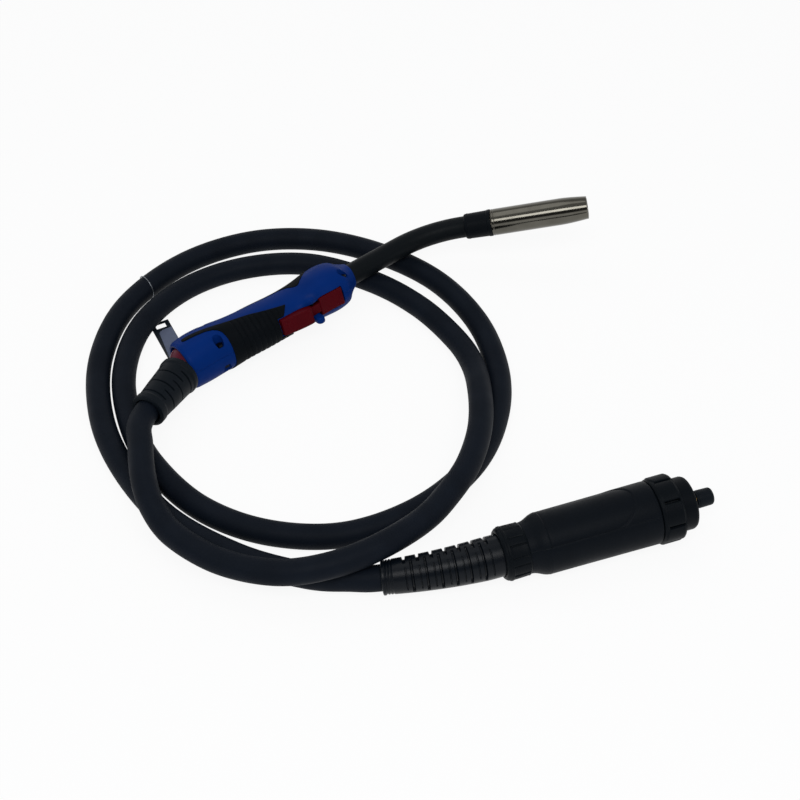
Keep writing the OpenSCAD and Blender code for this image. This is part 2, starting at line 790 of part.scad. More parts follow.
// One straight length of the cable boot, centred on its own middle; k counts the
// lengths from the nut, and each is joined to the next by a spigot in its wall
boot_parts = 4;
module boot_length(k) {
    rn = cable_boot_d / 2;
    rm = cable_boot_mouth_d / 2;
    bore = cable_d / 2 + fit;
    inner = bore + 1.6;
    half = cable_boot_len / boot_parts / 2;
    smooth = 12.5;
    slot = 0.85;
    pitch = half / 2;
    function wide(x) = let (s = (2 * k + 1) * half - x)
        s < smooth ? rn : rn + (rm - rn) * (s - smooth) / (cable_boot_len - smooth);
    front = k > 0 ? half - slot : half;
    back = k < boot_parts - 1 ? slot - half : 0.4 - half;
    bend_x0 = min(max((2 * k + 1) * half - smooth, back + 1), front - 1);
    difference() {
        union() {
            rod(k < boot_parts - 1 ? 0.45 - half : -half, k > 0 ? half - 0.45 : half, inner);
            turned([
                [back, 0], [back, wide(back) - 0.3], [back + 0.3, wide(back)],
                [bend_x0, wide(bend_x0)], [front - 0.3, wide(front)],
                [front, wide(front) - 0.3], [front, 0]
            ]);
            if (k == boot_parts - 1) rod(0.2 - half, 2.2 - half, rm + 0.6);
        }
        rod(-half - 1, half + 4, bore);
        // Rows of slots, each row turned against its neighbours
        for (i = [1:3], s = [0:1]) if (k > 0 || i < 3) if (k < boot_parts - 1 || i > 1)
            translate([i * pitch - half, 0, 0])
                sector(-slot, slot, inner, rn + 2, 90 * (i % 2) + 180 * s - 32, 124);
        if (k == boot_parts - 1) for (i = [1:3]) translate([2.6 * i - half, 0, 0])
            tube(0, 1, rn + 2, rm - 0.5);
    }
    if (k > 0) tube(half - 2, half + 1.5, bore + 1.3, bore + 0.4);
}

module cable_boot() {
    turn = 180 / PI / boot_bend_r * cable_boot_len / boot_parts;
    color("#17181b") at_plug() {
        for (k = [0:boot_parts - 1]) rotate([boot_roll, 0, 0])
            translate([0, boot_bend_r, 0]) rotate([0, 0, -(k + 0.5) * turn])
                translate([0, -boot_bend_r, 0]) boot_length(k);
        tube(-0.4, 3, cable_boot_d / 2 - 0.7, cable_d / 2 + 0.6);
    }
}

module gland_nut() {
    r = gland_nut_d / 2;
    ribs = 8;
    color("#1b1d20") at_plug() difference() {
        turned([
            [0, 0], [0, r - 2], [2, r - 0.3], [4, r], [gland_nut_len - 1, r],
            [gland_nut_len, r - 1], [gland_nut_len, 0]
        ]);
        rod(-1, 6.2, cable_boot_d / 2 + 1.2);
        rod(-1, gland_nut_len + 1, cable_d / 2 + 0.4);
        rod(7.5, gland_nut_len + 1, 15 + fit);
        for (i = [0:ribs - 1]) rotate([i * 360 / ribs, 0, 0]) translate([0, 0, r + 0.7])
            rod(5.2, gland_nut_len + 2, 2.1);
    }
}

module gland_seal() {
    color("#0f1011") at_plug() tube(7.6, 10.4, 15, cable_d / 2 + 0.4);
}

// Housing of the plug, whole, in its parting frame
module housing() {
    difference() {
        union() {
            turned([
                [housing_x0, 0], [housing_x0, housing_r0], [housing_x0 + 3, housing_r0],
                [housing_x0 + cone_len, housing_r - 0.4],
                [housing_x0 + cone_len + 2, housing_r],
                [housing_x1 - 1, housing_r + 0.5], [housing_x1, housing_r - 0.4],
                [housing_x1, 0]
            ]);
            rod(10.6, housing_x0 + 1, 15);
        }
        rod(0, housing_x0 + 8, cable_d / 2 + 0.4);
        rod(housing_x0 + 6, housing_x1 - 6, plug_core_r + fit);
        rod(housing_x1 - 7, housing_x1 + 1, face_r + 0.2);
        for (x = [46, housing_x1 - 16]) translate([x, screw_row_y, -40])
            cylinder(h = 46, r = 1.3 + fit);
        for (x = [46, housing_x1 - 16]) translate([x, screw_row_y, -40])
            cylinder(h = 34, r = 2.6);
    }
}

// Sunk panel with a round end, on the side of the upper half, from the seam upwards
module housing_panel() {
    sink = 0.5;
    x0 = housing_x0 + cone_len + 4;
    x1 = housing_x1 - 35;
    half = housing_r * 0.826;
    intersection() {
        tube(x0 - 20, housing_x1, housing_r + 4, housing_r - sink);
        rotate([-54, 0, 0]) rotate([90, 0, 0]) linear_extrude(40) union() {
            translate([x0, -half]) square([x1 - x0, 2 * half]);
            translate([x1, 0]) circle(half);
        }
    }
}

module housing_upper() {
    color("#26282b") at_plug() rotate([seam_tilt, 0, 0]) difference() {
        housing();
        translate([0, -50, -50]) cube([200, 100, 50]);
        housing_panel();
    }
}

module housing_lower() {
    color("#26282b") at_plug() rotate([seam_tilt, 0, 0]) intersection() {
        housing();
        translate([0, -50, -50]) cube([200, 100, 50]);
    }
}

module housing_screws() {
    color("#4a4d52") at_plug() rotate([seam_tilt, 0, 0])
        for (x = [46, housing_x1 - 16]) translate([x, screw_row_y, 0]) {
            translate([0, 0, -6.5]) cylinder(h = 12, r = 1.3);
            translate([0, 0, -8.4]) cylinder(h = 2.4, r = 2.4);
        }
}

module plug_core() {
    color("#b08d57") at_plug() difference() {
        union() {
            rod(30, 62, 12.5);
            rod(60, housing_x1 - 24, face_r);
            rod(housing_x1 - 25, housing_x1 - 8, plug_core_r);
        }
        rod(29, cable_end_x + 0.6, cable_d / 2 + fit);
        rod(cable_end_x, housing_x1, 3.2);
        rod(housing_x1 - 20, housing_x1, stem_d / 2 + fit);
    }
}

module plug_face() {
    color("#1f2123") at_plug() difference() {
        rod(housing_x1 - 8 + 2 * fit, face_x1, face_r);
        rod(housing_x1 - 20, face_x1 + 1, stem_d / 2 + fit);
        for (s = [-1, 1]) translate([0, 0, s * pin_offset])
            rod(face_x1 - 16, face_x1 + 1, pin_r + 0.8 + fit);
        tube(web_x1 + 0.3, web_x1 + 2.2, face_r + 1, face_r - 1);
    }
}

module retaining_ring() {
    color("#a9adb2") at_plug()
        sector(web_x1 + 0.4, web_x1 + 2.1, face_r - 0.95, face_r + 1.6, 15, 330);
}

module plug_stem() {
    r = stem_d / 2;
    color("#c49a45") at_plug() difference() {
        union() {
            rod(housing_x1 - 19, face_x1 + 1, r);
            rod(face_x1 + fit, cap_x0, r + 0.6);
            rod(cap_x0 - 1, cap_x1 - 4, r - 0.4);
        }
        rod(housing_x1 - 20, cap_x1, 2.2);
        translate([face_x1 + 3, 0, 0]) rotate([0, 90, 0])
            rotate_extrude() translate([r + 0.6, 0]) circle(r = 0.95);
    }
}

module stem_ring() {
    color("#0f1011") at_plug() translate([face_x1 + 3, 0, 0]) rotate([0, 90, 0])
        rotate_extrude() translate([stem_d / 2 + 0.6, 0]) circle(r = 0.9);
}

module pin_barrels() {
    color("#c49a45") at_plug() for (s = [-1, 1]) translate([0, 0, s * pin_offset])
        difference() {
            rod(face_x1 - 15.8, face_x1, pin_r + 0.8);
            rod(face_x1 - 14.5, face_x1 + 1, pin_r + run);
        }
}

module control_pin(side) {
    color("#c49a45") at_plug() translate([0, 0, side * pin_offset]) {
        rod(face_x1 - 11, face_x1 + 4, pin_r);
        translate([face_x1 + 4, 0, 0]) sphere(r = pin_r - 0.4);
    }
}

module control_pin_a() {
    control_pin(1);
}

module control_pin_b() {
    control_pin(-1);
}

module collar_nut() {
    r = collar_nut_d / 2;
    lobe = 360 / collar_lobes;
    color("#1b1d20") at_plug() difference() {
        union() {
            turned([
                [collar_x0, 0], [collar_x0, r - 3], [collar_x0 + 3, r - 0.3],
                [collar_x0 + 4, r - 0.3], [collar_x0 + 4.2, r - 2.4],
                [collar_x1 - 1, r - 2.8], [collar_x1, r - 4], [collar_x1, 0]
            ]);
            for (i = [0:collar_lobes - 1])
                sector(collar_x0 + 3.4, collar_x1 - 2.6, r - 6, r, 64 - lobe / 20 - i * lobe,
                    lobe * 0.9);
            turned([
                [collar_x1 - 1, 0], [collar_x1 - 1, skirt_d / 2], [skirt_x1 - 2.5, skirt_d / 2],
                [skirt_x1 - 0.6, skirt_d / 2 - 1], [skirt_x1, skirt_d / 2 - 2],
                [skirt_x1, 0]
            ]);
        }
        rod(collar_x0 - 1, skirt_x1 + 1, face_r + run);
        rod(web_x1, skirt_x1 + 1, skirt_d / 2 - 2.2);
    }
}

module stem_cap() {
    r = cap_d / 2;
    color("#2b2c2e") at_plug() difference() {
        turned([
            [cap_x0 + fit, 0], [cap_x0 + fit, r], [cap_x1 - 1, r - 0.3],
            [cap_x1, r - 1.4], [cap_x1, 0]
        ]);
        rod(cap_x0 - 1, cap_x1 - 3.9, stem_d / 2 - 0.4 + run);
    }
}

gas_nozzle();
nozzle_sleeve();
nozzle_seat();
snap_ring();
tip_holder();
contact_tip();
neck_cover();
neck_core();
neck_nut();
wire_liner();
handle_shell_left();
handle_shell_right();
grip_left();
grip_right();
thumb_pad_left();
thumb_pad_right();
shell_screws();
shell_nuts();
trigger();
trigger_pin();
trigger_spring();
microswitch();
switch_plunger();
switch_wires();
core_lead();
ball_seat();
swivel_ball();
swivel_boot();
cable_ferrule();
power_cable();
coil_tie();
hang_tag();
cable_boot();
gland_nut();
gland_seal();
housing_upper();
housing_lower();
housing_screws();
plug_core();
plug_face();
plug_stem();
stem_ring();
pin_barrels();
control_pin_a();
control_pin_b();
collar_nut();
retaining_ring();
stem_cap();
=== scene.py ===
"""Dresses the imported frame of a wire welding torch: camera, light, cable and detailed pieces."""

import math

import bmesh
import bpy
import numpy as np
from bpy.props import FloatProperty, FloatVectorProperty, PointerProperty
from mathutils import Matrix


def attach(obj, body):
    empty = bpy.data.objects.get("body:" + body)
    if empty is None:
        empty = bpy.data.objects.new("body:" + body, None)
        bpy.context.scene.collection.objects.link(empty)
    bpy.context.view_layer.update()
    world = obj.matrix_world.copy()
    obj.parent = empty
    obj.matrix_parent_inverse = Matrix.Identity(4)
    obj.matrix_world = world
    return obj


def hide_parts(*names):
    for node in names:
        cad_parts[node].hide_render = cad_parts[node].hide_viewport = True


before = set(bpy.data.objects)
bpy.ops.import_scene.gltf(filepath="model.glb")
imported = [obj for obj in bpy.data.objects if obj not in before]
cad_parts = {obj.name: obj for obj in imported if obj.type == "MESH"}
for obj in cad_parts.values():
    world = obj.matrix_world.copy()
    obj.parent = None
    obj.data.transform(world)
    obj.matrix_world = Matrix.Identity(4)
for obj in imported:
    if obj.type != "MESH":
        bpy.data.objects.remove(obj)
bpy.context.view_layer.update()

bl_info = {
    "name": "Wire welding torch",
    "version": (1, 0, 0),
    "blender": (4, 5, 0),
    "location": "View3D > Sidebar > Torch",
    "description": "Builds the dressed model of a wire welding torch over its packed frame",
    "category": "Add Mesh",
}

MM = 0.001
WELD = 2e-6  # metres, points nearer than this are one
SHARP_OVER = 38  # degrees


# ---- Frames ----


def turn(axis, degrees):
    """Rotation matrix about x, y or z."""
    c, s = math.cos(math.radians(degrees)), math.sin(math.radians(degrees))
    return {
        "x": np.array([[1, 0, 0], [0, c, -s], [0, s, c]]),
        "y": np.array([[c, 0, s], [0, 1, 0], [-s, 0, c]]),
        "z": np.array([[c, -s, 0], [s, c, 0], [0, 0, 1]]),
    }[axis]


class Place:
    """A right-angled frame of one part: its origin and its axes, in millimetres."""

    def __init__(self, origin, axes):
        self.origin = np.array(origin, float)
        self.axes = np.array(axes, float)

    def out(self, points):
        """Local points in millimetres to the shared frame in metres."""
        return (self.origin + np.asarray(points, float) @ self.axes.T) * MM

    def inner(self, origin, axes):
        """A frame given inside this one."""
        return Place(self.origin + self.axes @ np.array(origin, float), self.axes @ axes)


ROUTE = np.array([
    [-150.5, -48.5, 21.9], [-180, -115, 29], [-178, -149, 32], [-171, -184, 31.5],
    [-161, -209, 29], [-143, -232, 26], [-108, -254, 24], [-66, -267, 28],
    [-28, -265, 33], [8, -249, 34], [41, -222, 31.5], [61, -196, 31.5],
    [77, -166, 31], [87, -129, 30], [89, -88, 25], [85, -45, 15.5], [71, -8, 10.5],
    [40, 33, 10], [-3, 66, 10], [-60, 88, 10], [-118, 82, 10.3], [-167, 54, 10.7],
    [-199, 8, 10.6], [-207, -50, 10.3], [-193, -109, 10], [-168, -154, 10],
    [-128, -194, 10], [-76, -217, 10], [-17, -219, 10], [39, -194, 10],
    [81, -151, 10], [102, -101, 10], [106, -47, 10], [91, 13, 10], [56, 66, 10],
    [4, 103, 10], [-55, 122, 10], [-116, 118, 10], [-173, 87, 10.4], [-215, 33, 10.6],
    [-229, -29, 10.3], [-221, -92, 10], [-197, -148, 10], [-155, -202, 10],
    [-98, -239, 10], [-45, -257, 10.4], [-12, -261, 12.4], [10, -262.5, 15],
    [54, -257.5, 19.2], [97, -247, 21.8], [135, -235, 23.4],
])

SWIVEL = ROUTE[0] - ROUTE[1]
HANDLE = Place(ROUTE[0], turn("z", 37.5) @ turn("y", -2.7) @ turn("x", -107))
BALL = Place(
    ROUTE[0],
    turn("z", math.degrees(math.atan2(SWIVEL[1], SWIVEL[0])))
    @ turn("y", -math.degrees(math.atan2(SWIVEL[2], math.hypot(SWIVEL[0], SWIVEL[1])))),
)
PLUG = Place(ROUTE[49], turn("z", 17.4) @ turn("y", -2.3))

RIM_X, NOSE_X = -7.5, 163.5
NECK_BEND, NECK_R, NECK_STRAIGHT, AFTER_BEND = 40.0, 89.0, 51.0, 3.0
BEND_X = 167.0 + NECK_STRAIGHT
NECK_END = HANDLE.inner(
    [
        BEND_X + NECK_R * math.sin(math.radians(NECK_BEND))
        + AFTER_BEND * math.cos(math.radians(NECK_BEND)),
        0,
        -NECK_R * (1 - math.cos(math.radians(NECK_BEND)))
        - AFTER_BEND * math.sin(math.radians(NECK_BEND)),
    ],
    turn("y", NECK_BEND),
)


# ---- Mesh helpers ----


def smooth_step(x, low, high):
    """0 below low, 1 above high, and an S curve between."""
    u = np.clip((x - low) / (high - low), 0, 1)
    return u * u * (3 - 2 * u)


def window(x, low, high, end, past):
    """0 below low and past the last, 1 from high to end, and S curves between."""
    return smooth_step(x, low, high) * (1 - smooth_step(x, end, past))


def joined(*runs):
    """Values of all the runs in rising order, each once."""
    return np.unique(np.concatenate(runs))


def linked(name, data):
    """An object with the data, put in the scene."""
    obj = bpy.data.objects.new(name, data)
    bpy.context.scene.collection.objects.link(obj)
    return obj


def welded(name, points, faces, step):
    """Mesh whose doubled points are one, after one more step on its bmesh."""
    mesh = bpy.data.meshes.new(name)
    mesh.from_pydata(points.tolist(), [], faces)
    work = bmesh.new()
    work.from_mesh(mesh)
    bmesh.ops.remove_doubles(work, verts=work.verts, dist=WELD)
    step(work)
    work.to_mesh(mesh)
    work.free()
    return mesh


def piece(name, parts, body, look, replaces=()):
    """One object from (points, faces) parts in metres, smooth but for edges over an angle."""
    verts, faces, start = [], [], 0
    for points, quads in parts:
        verts.append(points)
        faces.extend((np.asarray(q) + start).tolist() for q in quads)
        start += len(points)
    mesh = welded(name, np.concatenate(verts), faces, lambda work: (
        bmesh.ops.dissolve_degenerate(work, edges=work.edges, dist=WELD / 20)))
    mesh.shade_smooth()
    mesh.set_sharp_from_angle(angle=math.radians(SHARP_OVER))
    mesh.materials.append(finish(look))
    obj = linked(name, mesh)
    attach(obj, body)
    if replaces:
        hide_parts(*replaces)
    return obj


def grid(points, around=True):
    """Faces of a (rows, columns, 3) grid of points; around joins the last column to the
    first. Faces are turned so that the closed form has a positive volume."""
    points = np.asarray(points, float)
    rows, cols = points.shape[:2]
    index = np.arange(rows * cols).reshape(rows, cols)
    right = np.roll(index, -1, axis=1) if around else index[:, 1:]
    left = index if around else index[:, :-1]
    quads = np.stack([left[:-1], right[:-1], right[1:], left[1:]], -1).reshape(-1, 4)
    flat = points.reshape(-1, 3)
    return flat, outward(flat, quads)


def outward(flat, quads):
    """Turns all the faces round if their volume about their own middle is negative."""
    mid = flat.mean(0)
    a, b, c, d = (flat[quads[:, k]] - mid for k in range(4))
    volume = np.einsum("ij,ij->i", a, np.cross(b, c) + np.cross(c, d)).sum()
    return quads if volume > 0 else quads[:, ::-1]


def rounded(corners, closed=False, steps=4):
    """A line through corners (x, r, fillet): each corner with a fillet becomes a quadratic
    arc that starts and ends that far from it, at most 45% of its edges."""
    pts = np.array([c[:2] for c in corners], float)
    fil = [c[2] if len(c) > 2 else 0 for c in corners]
    n, line = len(pts), []
    for i in range(n):
        f = fil[i]
        if f <= 0 or (not closed and i in (0, n - 1)):
            line.append(pts[i])
            continue
        before, after = pts[i - 1] - pts[i], pts[(i + 1) % n] - pts[i]
        lb, la = np.linalg.norm(before), np.linalg.norm(after)
        b, a = pts[i] + before / lb * min(f, lb * 0.45), pts[i] + after / la * min(f, la * 0.45)
        for u in np.linspace(0, 1, steps + 1):
            line.append(b * (1 - u) ** 2 + pts[i] * 2 * u * (1 - u) + a * u**2)
    if closed:
        line.append(line[0])
    return np.array(line)


def about_x(x, radius, angle):
    """Points at x and at a radius and an angle about X, counted from -Y towards +Z."""
    x, radius, angle = np.broadcast_arrays(x, radius, angle)
    return np.stack([x, -radius * np.cos(angle), radius * np.sin(angle)], -1)


def turned(place, corners, sides=72, closed=True, field=None):
    """Solid of revolution about the place's X from a rounded profile of (x, radius). field
    takes x, radius and angle arrays and gives the radius to use."""
    x, r = rounded(corners, closed).T[:, :, None]
    x, r, a = np.broadcast_arrays(x, r, np.linspace(0, 2 * math.pi, sides, endpoint=False))
    return grid(place.out(about_x(x, field(x, r, a) if field else r, a)))


def stacked(place, rows):
    """Closed form from rows of an outline of (x, y) and its height; all the outlines have
    as many points, and are joined in order."""
    return grid(place.out(np.stack([np.insert(np.array(o, float), 2, z, 1) for o, z in rows])))


def frames_along(line, up=(0, 0, 1)):
    """Tangent, side and top vectors at each point of a line, square to it."""
    t = np.gradient(line, axis=0)
    t /= np.linalg.norm(t, axis=1, keepdims=True)
    s = np.cross(t, np.array(up, float))
    s /= np.linalg.norm(s, axis=1, keepdims=True)
    return t, s, np.cross(s, t)


def swept(line, radius, sides=32, up=(0, 0, 1), capped=True):
    """Round tube along a line in metres: at each point a circle square to the line. Caps
    close it as flat discs."""
    _, s, w = frames_along(line, up)
    a = np.linspace(0, 2 * math.pi, sides, endpoint=False)
    ring = s[:, None] * np.cos(a)[None, :, None] + w[:, None] * np.sin(a)[None, :, None]
    pts = line[:, None] + ring * radius
    if capped:
        first, last = np.repeat(line[:1], sides, 0), np.repeat(line[-1:], sides, 0)
        pts = np.concatenate([first[None], pts, last[None]])
    return grid(pts)


def spline(points, n):
    """Catmull-Rom curve through the points, n steps to each stretch, evenly spread."""
    p = np.vstack([2 * points[0] - points[1], points, 2 * points[-1] - points[-2]])
    u = np.linspace(0, 1, n, endpoint=False)[:, None]
    out = [
        (2 * b + (c - a) * u + (2 * a - 5 * b + 4 * c - d) * u**2
         + (3 * b - a - 3 * c + d) * u**3) / 2
        for a, b, c, d in zip(p[:-3], p[1:-2], p[2:-1], p[3:])
    ]
    return np.vstack(out + [points[-1:]])


def evenly(line, step):
    """The same line with points an even distance apart."""
    d = np.concatenate([[0], np.cumsum(np.linalg.norm(np.diff(line, axis=0), axis=1))])
    s = np.linspace(0, d[-1], max(2, int(round(d[-1] / step)) + 1))
    return np.stack([np.interp(s, d, line[:, k]) for k in range(3)], -1)


def bevelled(obj, width, segments, angle):
    """Rounds a finished piece's edges over an angle, by a width in millimetres."""
    mod = obj.modifiers.new("edges", "BEVEL")
    mod.width, mod.segments = width * MM, segments
    mod.limit_method, mod.angle_limit = "ANGLE", math.radians(angle)
    mod.harden_normals = False


def prism(place, outline, y0, y1):
    """Plate in the place's XZ plane from y0 to y1: an outline of (x, z) carried along Y."""
    flat = place.out(np.concatenate([
        np.insert(np.array(outline, float), 1, y, axis=1) for y in (y0, y1)]))
    low = np.arange(len(outline))
    after, high = np.roll(low, -1), low + len(low)
    side = np.stack([low, after, after + len(low), high], -1)
    faces = outward(flat, side)
    caps = [low[::-1], high] if np.array_equal(faces, side) else [low, high[::-1]]
    return flat, [*faces, *caps]


# ---- Materials ----


def node(tree, kind, values=(), **settings):
    """A node with its settings, and (input, value or socket) pairs."""
    made = tree.nodes.new(kind)
    for key, value in settings.items():
        setattr(made, key, value)
    for key, value in values:
        if isinstance(value, bpy.types.NodeSocket):
            tree.links.new(value, made.inputs[key])
        else:
            made.inputs[key].default_value = value
    return made


def noise(tree, vector, scale, detail, roughness, distortion=0.0):
    """Noise from 0 to 1 over a vector."""
    made = node(tree, "ShaderNodeTexNoise", [
        ("Vector", vector), ("Scale", scale), ("Detail", detail), ("Roughness", roughness),
        ("Distortion", distortion)])
    return made.outputs["Fac"]


def spread(tree, value, low, high, to=(0.0, 1.0), **settings):
    """A value carried from low..high to another range."""
    made = node(tree, "ShaderNodeMapRange", [
        ("Value", value), ("From Min", low), ("From Max", high),
        ("To Min", to[0]), ("To Max", to[1])], **settings)
    return made.outputs["Result"]


def blend(tree, amount, first, second):
    """Colour between two colours."""
    made = node(tree, "ShaderNodeMix", [(0, amount), (6, first), (7, second)], data_type="RGBA")
    return made.outputs[2]


def surface_group(name, own_inputs, look):
    """Shader node group of a surface, made once. look gives its fine grain, its broad
    mottling and its colour; gloss follows the mottling and the grain becomes a bump."""
    tree = bpy.data.node_groups.get(name)
    if tree:
        return tree
    tree = bpy.data.node_groups.new(name, "ShaderNodeTree")
    for label, kind in (
        ("Vector", "Vector"), ("Colour", "Color"), ("Second colour", "Color"),
        ("Grain", "Float"), ("Depth", "Float"), ("Roughness low", "Float"),
        ("Roughness high", "Float"), *own_inputs,
    ):
        tree.interface.new_socket(label, in_out="INPUT", socket_type=f"NodeSocket{kind}")
    for label, kind in (("Colour", "Color"), ("Roughness", "Float"), ("Normal", "Vector")):
        tree.interface.new_socket(label, in_out="OUTPUT", socket_type=f"NodeSocket{kind}")
    at = tree.nodes.new("NodeGroupInput").outputs
    fine, broad, colour = look(tree, at)
    gloss = spread(tree, broad, 0.3, 0.7, (at["Roughness low"], at["Roughness high"]))
    bump = node(tree, "ShaderNodeBump", [
        ("Strength", 1.0), ("Distance", at["Depth"]), ("Height", fine)])
    node(tree, "NodeGroupOutput", [
        ("Colour", colour), ("Roughness", gloss), ("Normal", bump.outputs["Normal"])])
    return tree


def moulded_look(tree, at):
    """Fine mould texture, soft mottling of colour and gloss, and a few light rub marks."""
    broad = noise(tree, at["Vector"], 38.0, 4.0, 0.55)
    rub = noise(tree, at["Vector"], 150.0, 6.0, 0.75, 1.2)
    tint = blend(tree, spread(tree, broad, 0.35, 0.68), at["Colour"], at["Second colour"])
    marks = spread(tree, rub, 0.66, 0.78, (0.0, at["Marks"]))
    return (noise(tree, at["Vector"], at["Grain"], 3.0, 0.6), broad,
            blend(tree, marks, tint, at["Mark colour"]))


def metal_look(tree, at):
    """Bright metal with fine grain and soft tarnish."""
    broad = noise(tree, at["Vector"], 60.0, 5.0, 0.6)
    tarnish = spread(tree, broad, 0.38, 0.7, (0.0, at["Tarnish"]))
    return (noise(tree, at["Vector"], at["Grain"], 4.0, 0.7), broad,
            blend(tree, tarnish, at["Colour"], at["Second colour"]))


def surfaced(name, tree_group, values, shading):
    """Material: a surface group in front of a Principled shader with its own sockets."""
    mat = bpy.data.materials.new(f"{name}_finish")
    mat.use_nodes = True
    tree = mat.node_tree
    shader = tree.nodes["Principled BSDF"]
    coords = node(tree, "ShaderNodeTexCoord")
    look = node(tree, "ShaderNodeGroup", node_tree=tree_group)
    tree.links.new(coords.outputs["Object"], look.inputs["Vector"])
    for key, value in values.items():
        look.inputs[key].default_value = value
    for key, socket in (("Colour", "Base Color"), ("Roughness", "Roughness"),
                        ("Normal", "Normal")):
        tree.links.new(look.outputs[key], shader.inputs[socket])
    for key, value in shading.items():
        shader.inputs[key].default_value = value
    return mat


def srgb(r, g, b):
    """Linear colour of an sRGB one given from 0 to 255."""
    c = np.array([r, g, b], float) / 255
    return tuple(np.where(c <= 0.04045, c / 12.92, ((c + 0.055) / 1.055) ** 2.4))


# Moulded finishes: colour, roughness from and to, grain, its depth in metres, amount of rub
# marks, darkest shade, colour of the marks where it isn't the usual one, and specular level
MOULDED = {
    "blue_shell": ((2, 41, 110), (0.42, 0.52), 2400, 14e-6, 0.06, 0.9, (30, 66, 128), 0.04),
    "red_plastic": ((78, 5, 15), (0.4, 0.5), 2200, 10e-6, 0.2, 0.85, (104, 36, 42), 0.05),
    "red_ball": ((88, 18, 40), (0.3, 0.38), 2200, 8e-6, 0.1, 0.9, None, 0.14),
    "soft_grip": ((10, 14, 18), (0.55, 0.66), 2600, 20e-6, 0.12, 0.85, (34, 40, 46), 0.04),
    "cable_rubber": ((16, 22, 31), (0.52, 0.64), 1500, 30e-6, 0.1, 0.8, (44, 50, 60), 0.07),
    "boot_rubber": ((15, 21, 27), (0.46, 0.56), 2200, 20e-6, 0.14, 0.85, (40, 46, 54), 0.08),
    "gloss_rubber": ((9, 15, 22), (0.28, 0.38), 1600, 20e-6, 0.12, 0.85, (40, 46, 54), 0.15),
    "strap_plastic": ((22, 30, 38), (0.4, 0.5), 1800, 10e-6, 0.1, 0.85, None, 0.3),
    "card_stock": ((96, 104, 126), (0.5, 0.62), 1200, 10e-6, 0.15, 0.9, None, 0.3),
    "black_plastic": ((9, 14, 19), (0.42, 0.54), 2000, 18e-6, 0.12, 0.85, (38, 43, 50), 0.06),
    "housing_plastic": (
        (11, 16, 22), (0.42, 0.54), 1400, 30e-6, 0.12, 0.85, (42, 47, 54), 0.06),
    "neck_cover": ((11, 16, 20), (0.42, 0.52), 900, 12e-6, 0.1, 0.85, (38, 43, 48), 0.08),
    "insulator": ((188, 172, 142), (0.5, 0.6), 1500, 40e-6, 0.2, 0.85, None, 0.5),
    "white_plastic": ((214, 214, 206), (0.35, 0.45), 2000, 10e-6, 0.1, 0.95, None, 0.5),
    "lead_rubber": ((58, 50, 42), (0.55, 0.65), 1500, 30e-6, 0.1, 0.85, None, 0.5),
    "wire_plastic": ((206, 206, 200), (0.4, 0.5), 2000, 10e-6, 0.1, 0.9, None, 0.5),
}

# Metals: colour, dull colour, roughness from and to, amount of tarnish, depth of the grain
METALS = {
    "nickel": ((98, 96, 89), (76, 74, 68), (0.1, 0.16), 0.5, 2e-6),
    "brass": ((206, 166, 92), (150, 112, 60), (0.24, 0.36), 0.6, 4e-6),
    "copper": ((204, 132, 92), (140, 84, 58), (0.24, 0.36), 0.6, 4e-6),
    "steel": ((180, 182, 186), (130, 131, 134), (0.25, 0.38), 0.5, 4e-6),
    "tie_steel": ((120, 124, 130), (84, 87, 92), (0.34, 0.46), 0.5, 4e-6),
    "dark_steel": ((34, 36, 40), (20, 21, 24), (0.36, 0.48), 0.5, 4e-6),
}
METAL_GRAIN = 900.0


def finish(name):
    """Material of a finish in one of the two tables, made once."""
    made = bpy.data.materials.get(f"{name}_finish")
    if made:
        return made
    if name in METALS:
        colour, dull, (low, high), tarnish, depth = METALS[name]
        return surfaced(
            name, surface_group("metal_surface", [("Tarnish", "Float")], metal_look),
            {"Colour": (*srgb(*colour), 1), "Second colour": (*srgb(*dull), 1),
             "Tarnish": tarnish, "Grain": METAL_GRAIN, "Depth": depth, "Roughness low": low,
             "Roughness high": high},
            {"Metallic": 1.0})
    colour, (low, high), grain, depth, marks, shade, mark, specular = MOULDED[name]
    chosen = bpy.context.scene.torch_colours
    colour = np.array(getattr(chosen, name) if hasattr(chosen, name) else srgb(*colour))
    mark = srgb(*mark) if mark else colour * 1.5 + 0.02
    return surfaced(
        name, surface_group("moulded_surface", [("Mark colour", "Color"), ("Marks", "Float")],
                            moulded_look),
        {"Colour": (*colour, 1), "Second colour": (*(colour * shade), 1),
         "Mark colour": (*mark, 1), "Marks": marks, "Grain": grain, "Depth": depth,
         "Roughness low": low, "Roughness high": high},
        {"Specular IOR Level": specular})


# Finish of each solid of the frame
CAD_LOOKS = {
    "steel": "snap_ring wire_liner trigger_spring retaining_ring",
    "dark_steel": "shell_nuts shell_screws trigger_pin housing_screws coil_tie",
    "brass": "tip_holder neck_core neck_nut cable_ferrule plug_core plug_stem pin_barrels"
             " control_pin_a control_pin_b",
    "copper": "contact_tip",
    "nickel": "gas_nozzle",
    "insulator": "nozzle_seat",
    "black_plastic": "microswitch plug_face gland_nut collar_nut nozzle_sleeve",
    "red_plastic": "switch_plunger trigger",
    "red_ball": "swivel_ball",
    "white_plastic": "ball_seat",
    "wire_plastic": "switch_wires",
    "lead_rubber": "core_lead",
    "boot_rubber": "gland_seal stem_ring swivel_boot cable_boot stem_cap",
    "blue_shell": "handle_shell_left handle_shell_right",
    "soft_grip": "grip_left grip_right thumb_pad_left thumb_pad_right",
    "cable_rubber": "power_cable",
    "strap_plastic": "hang_tag",
    "housing_plastic": "housing_upper housing_lower",
    "neck_cover": "neck_cover",
}


# ---- Settings ----


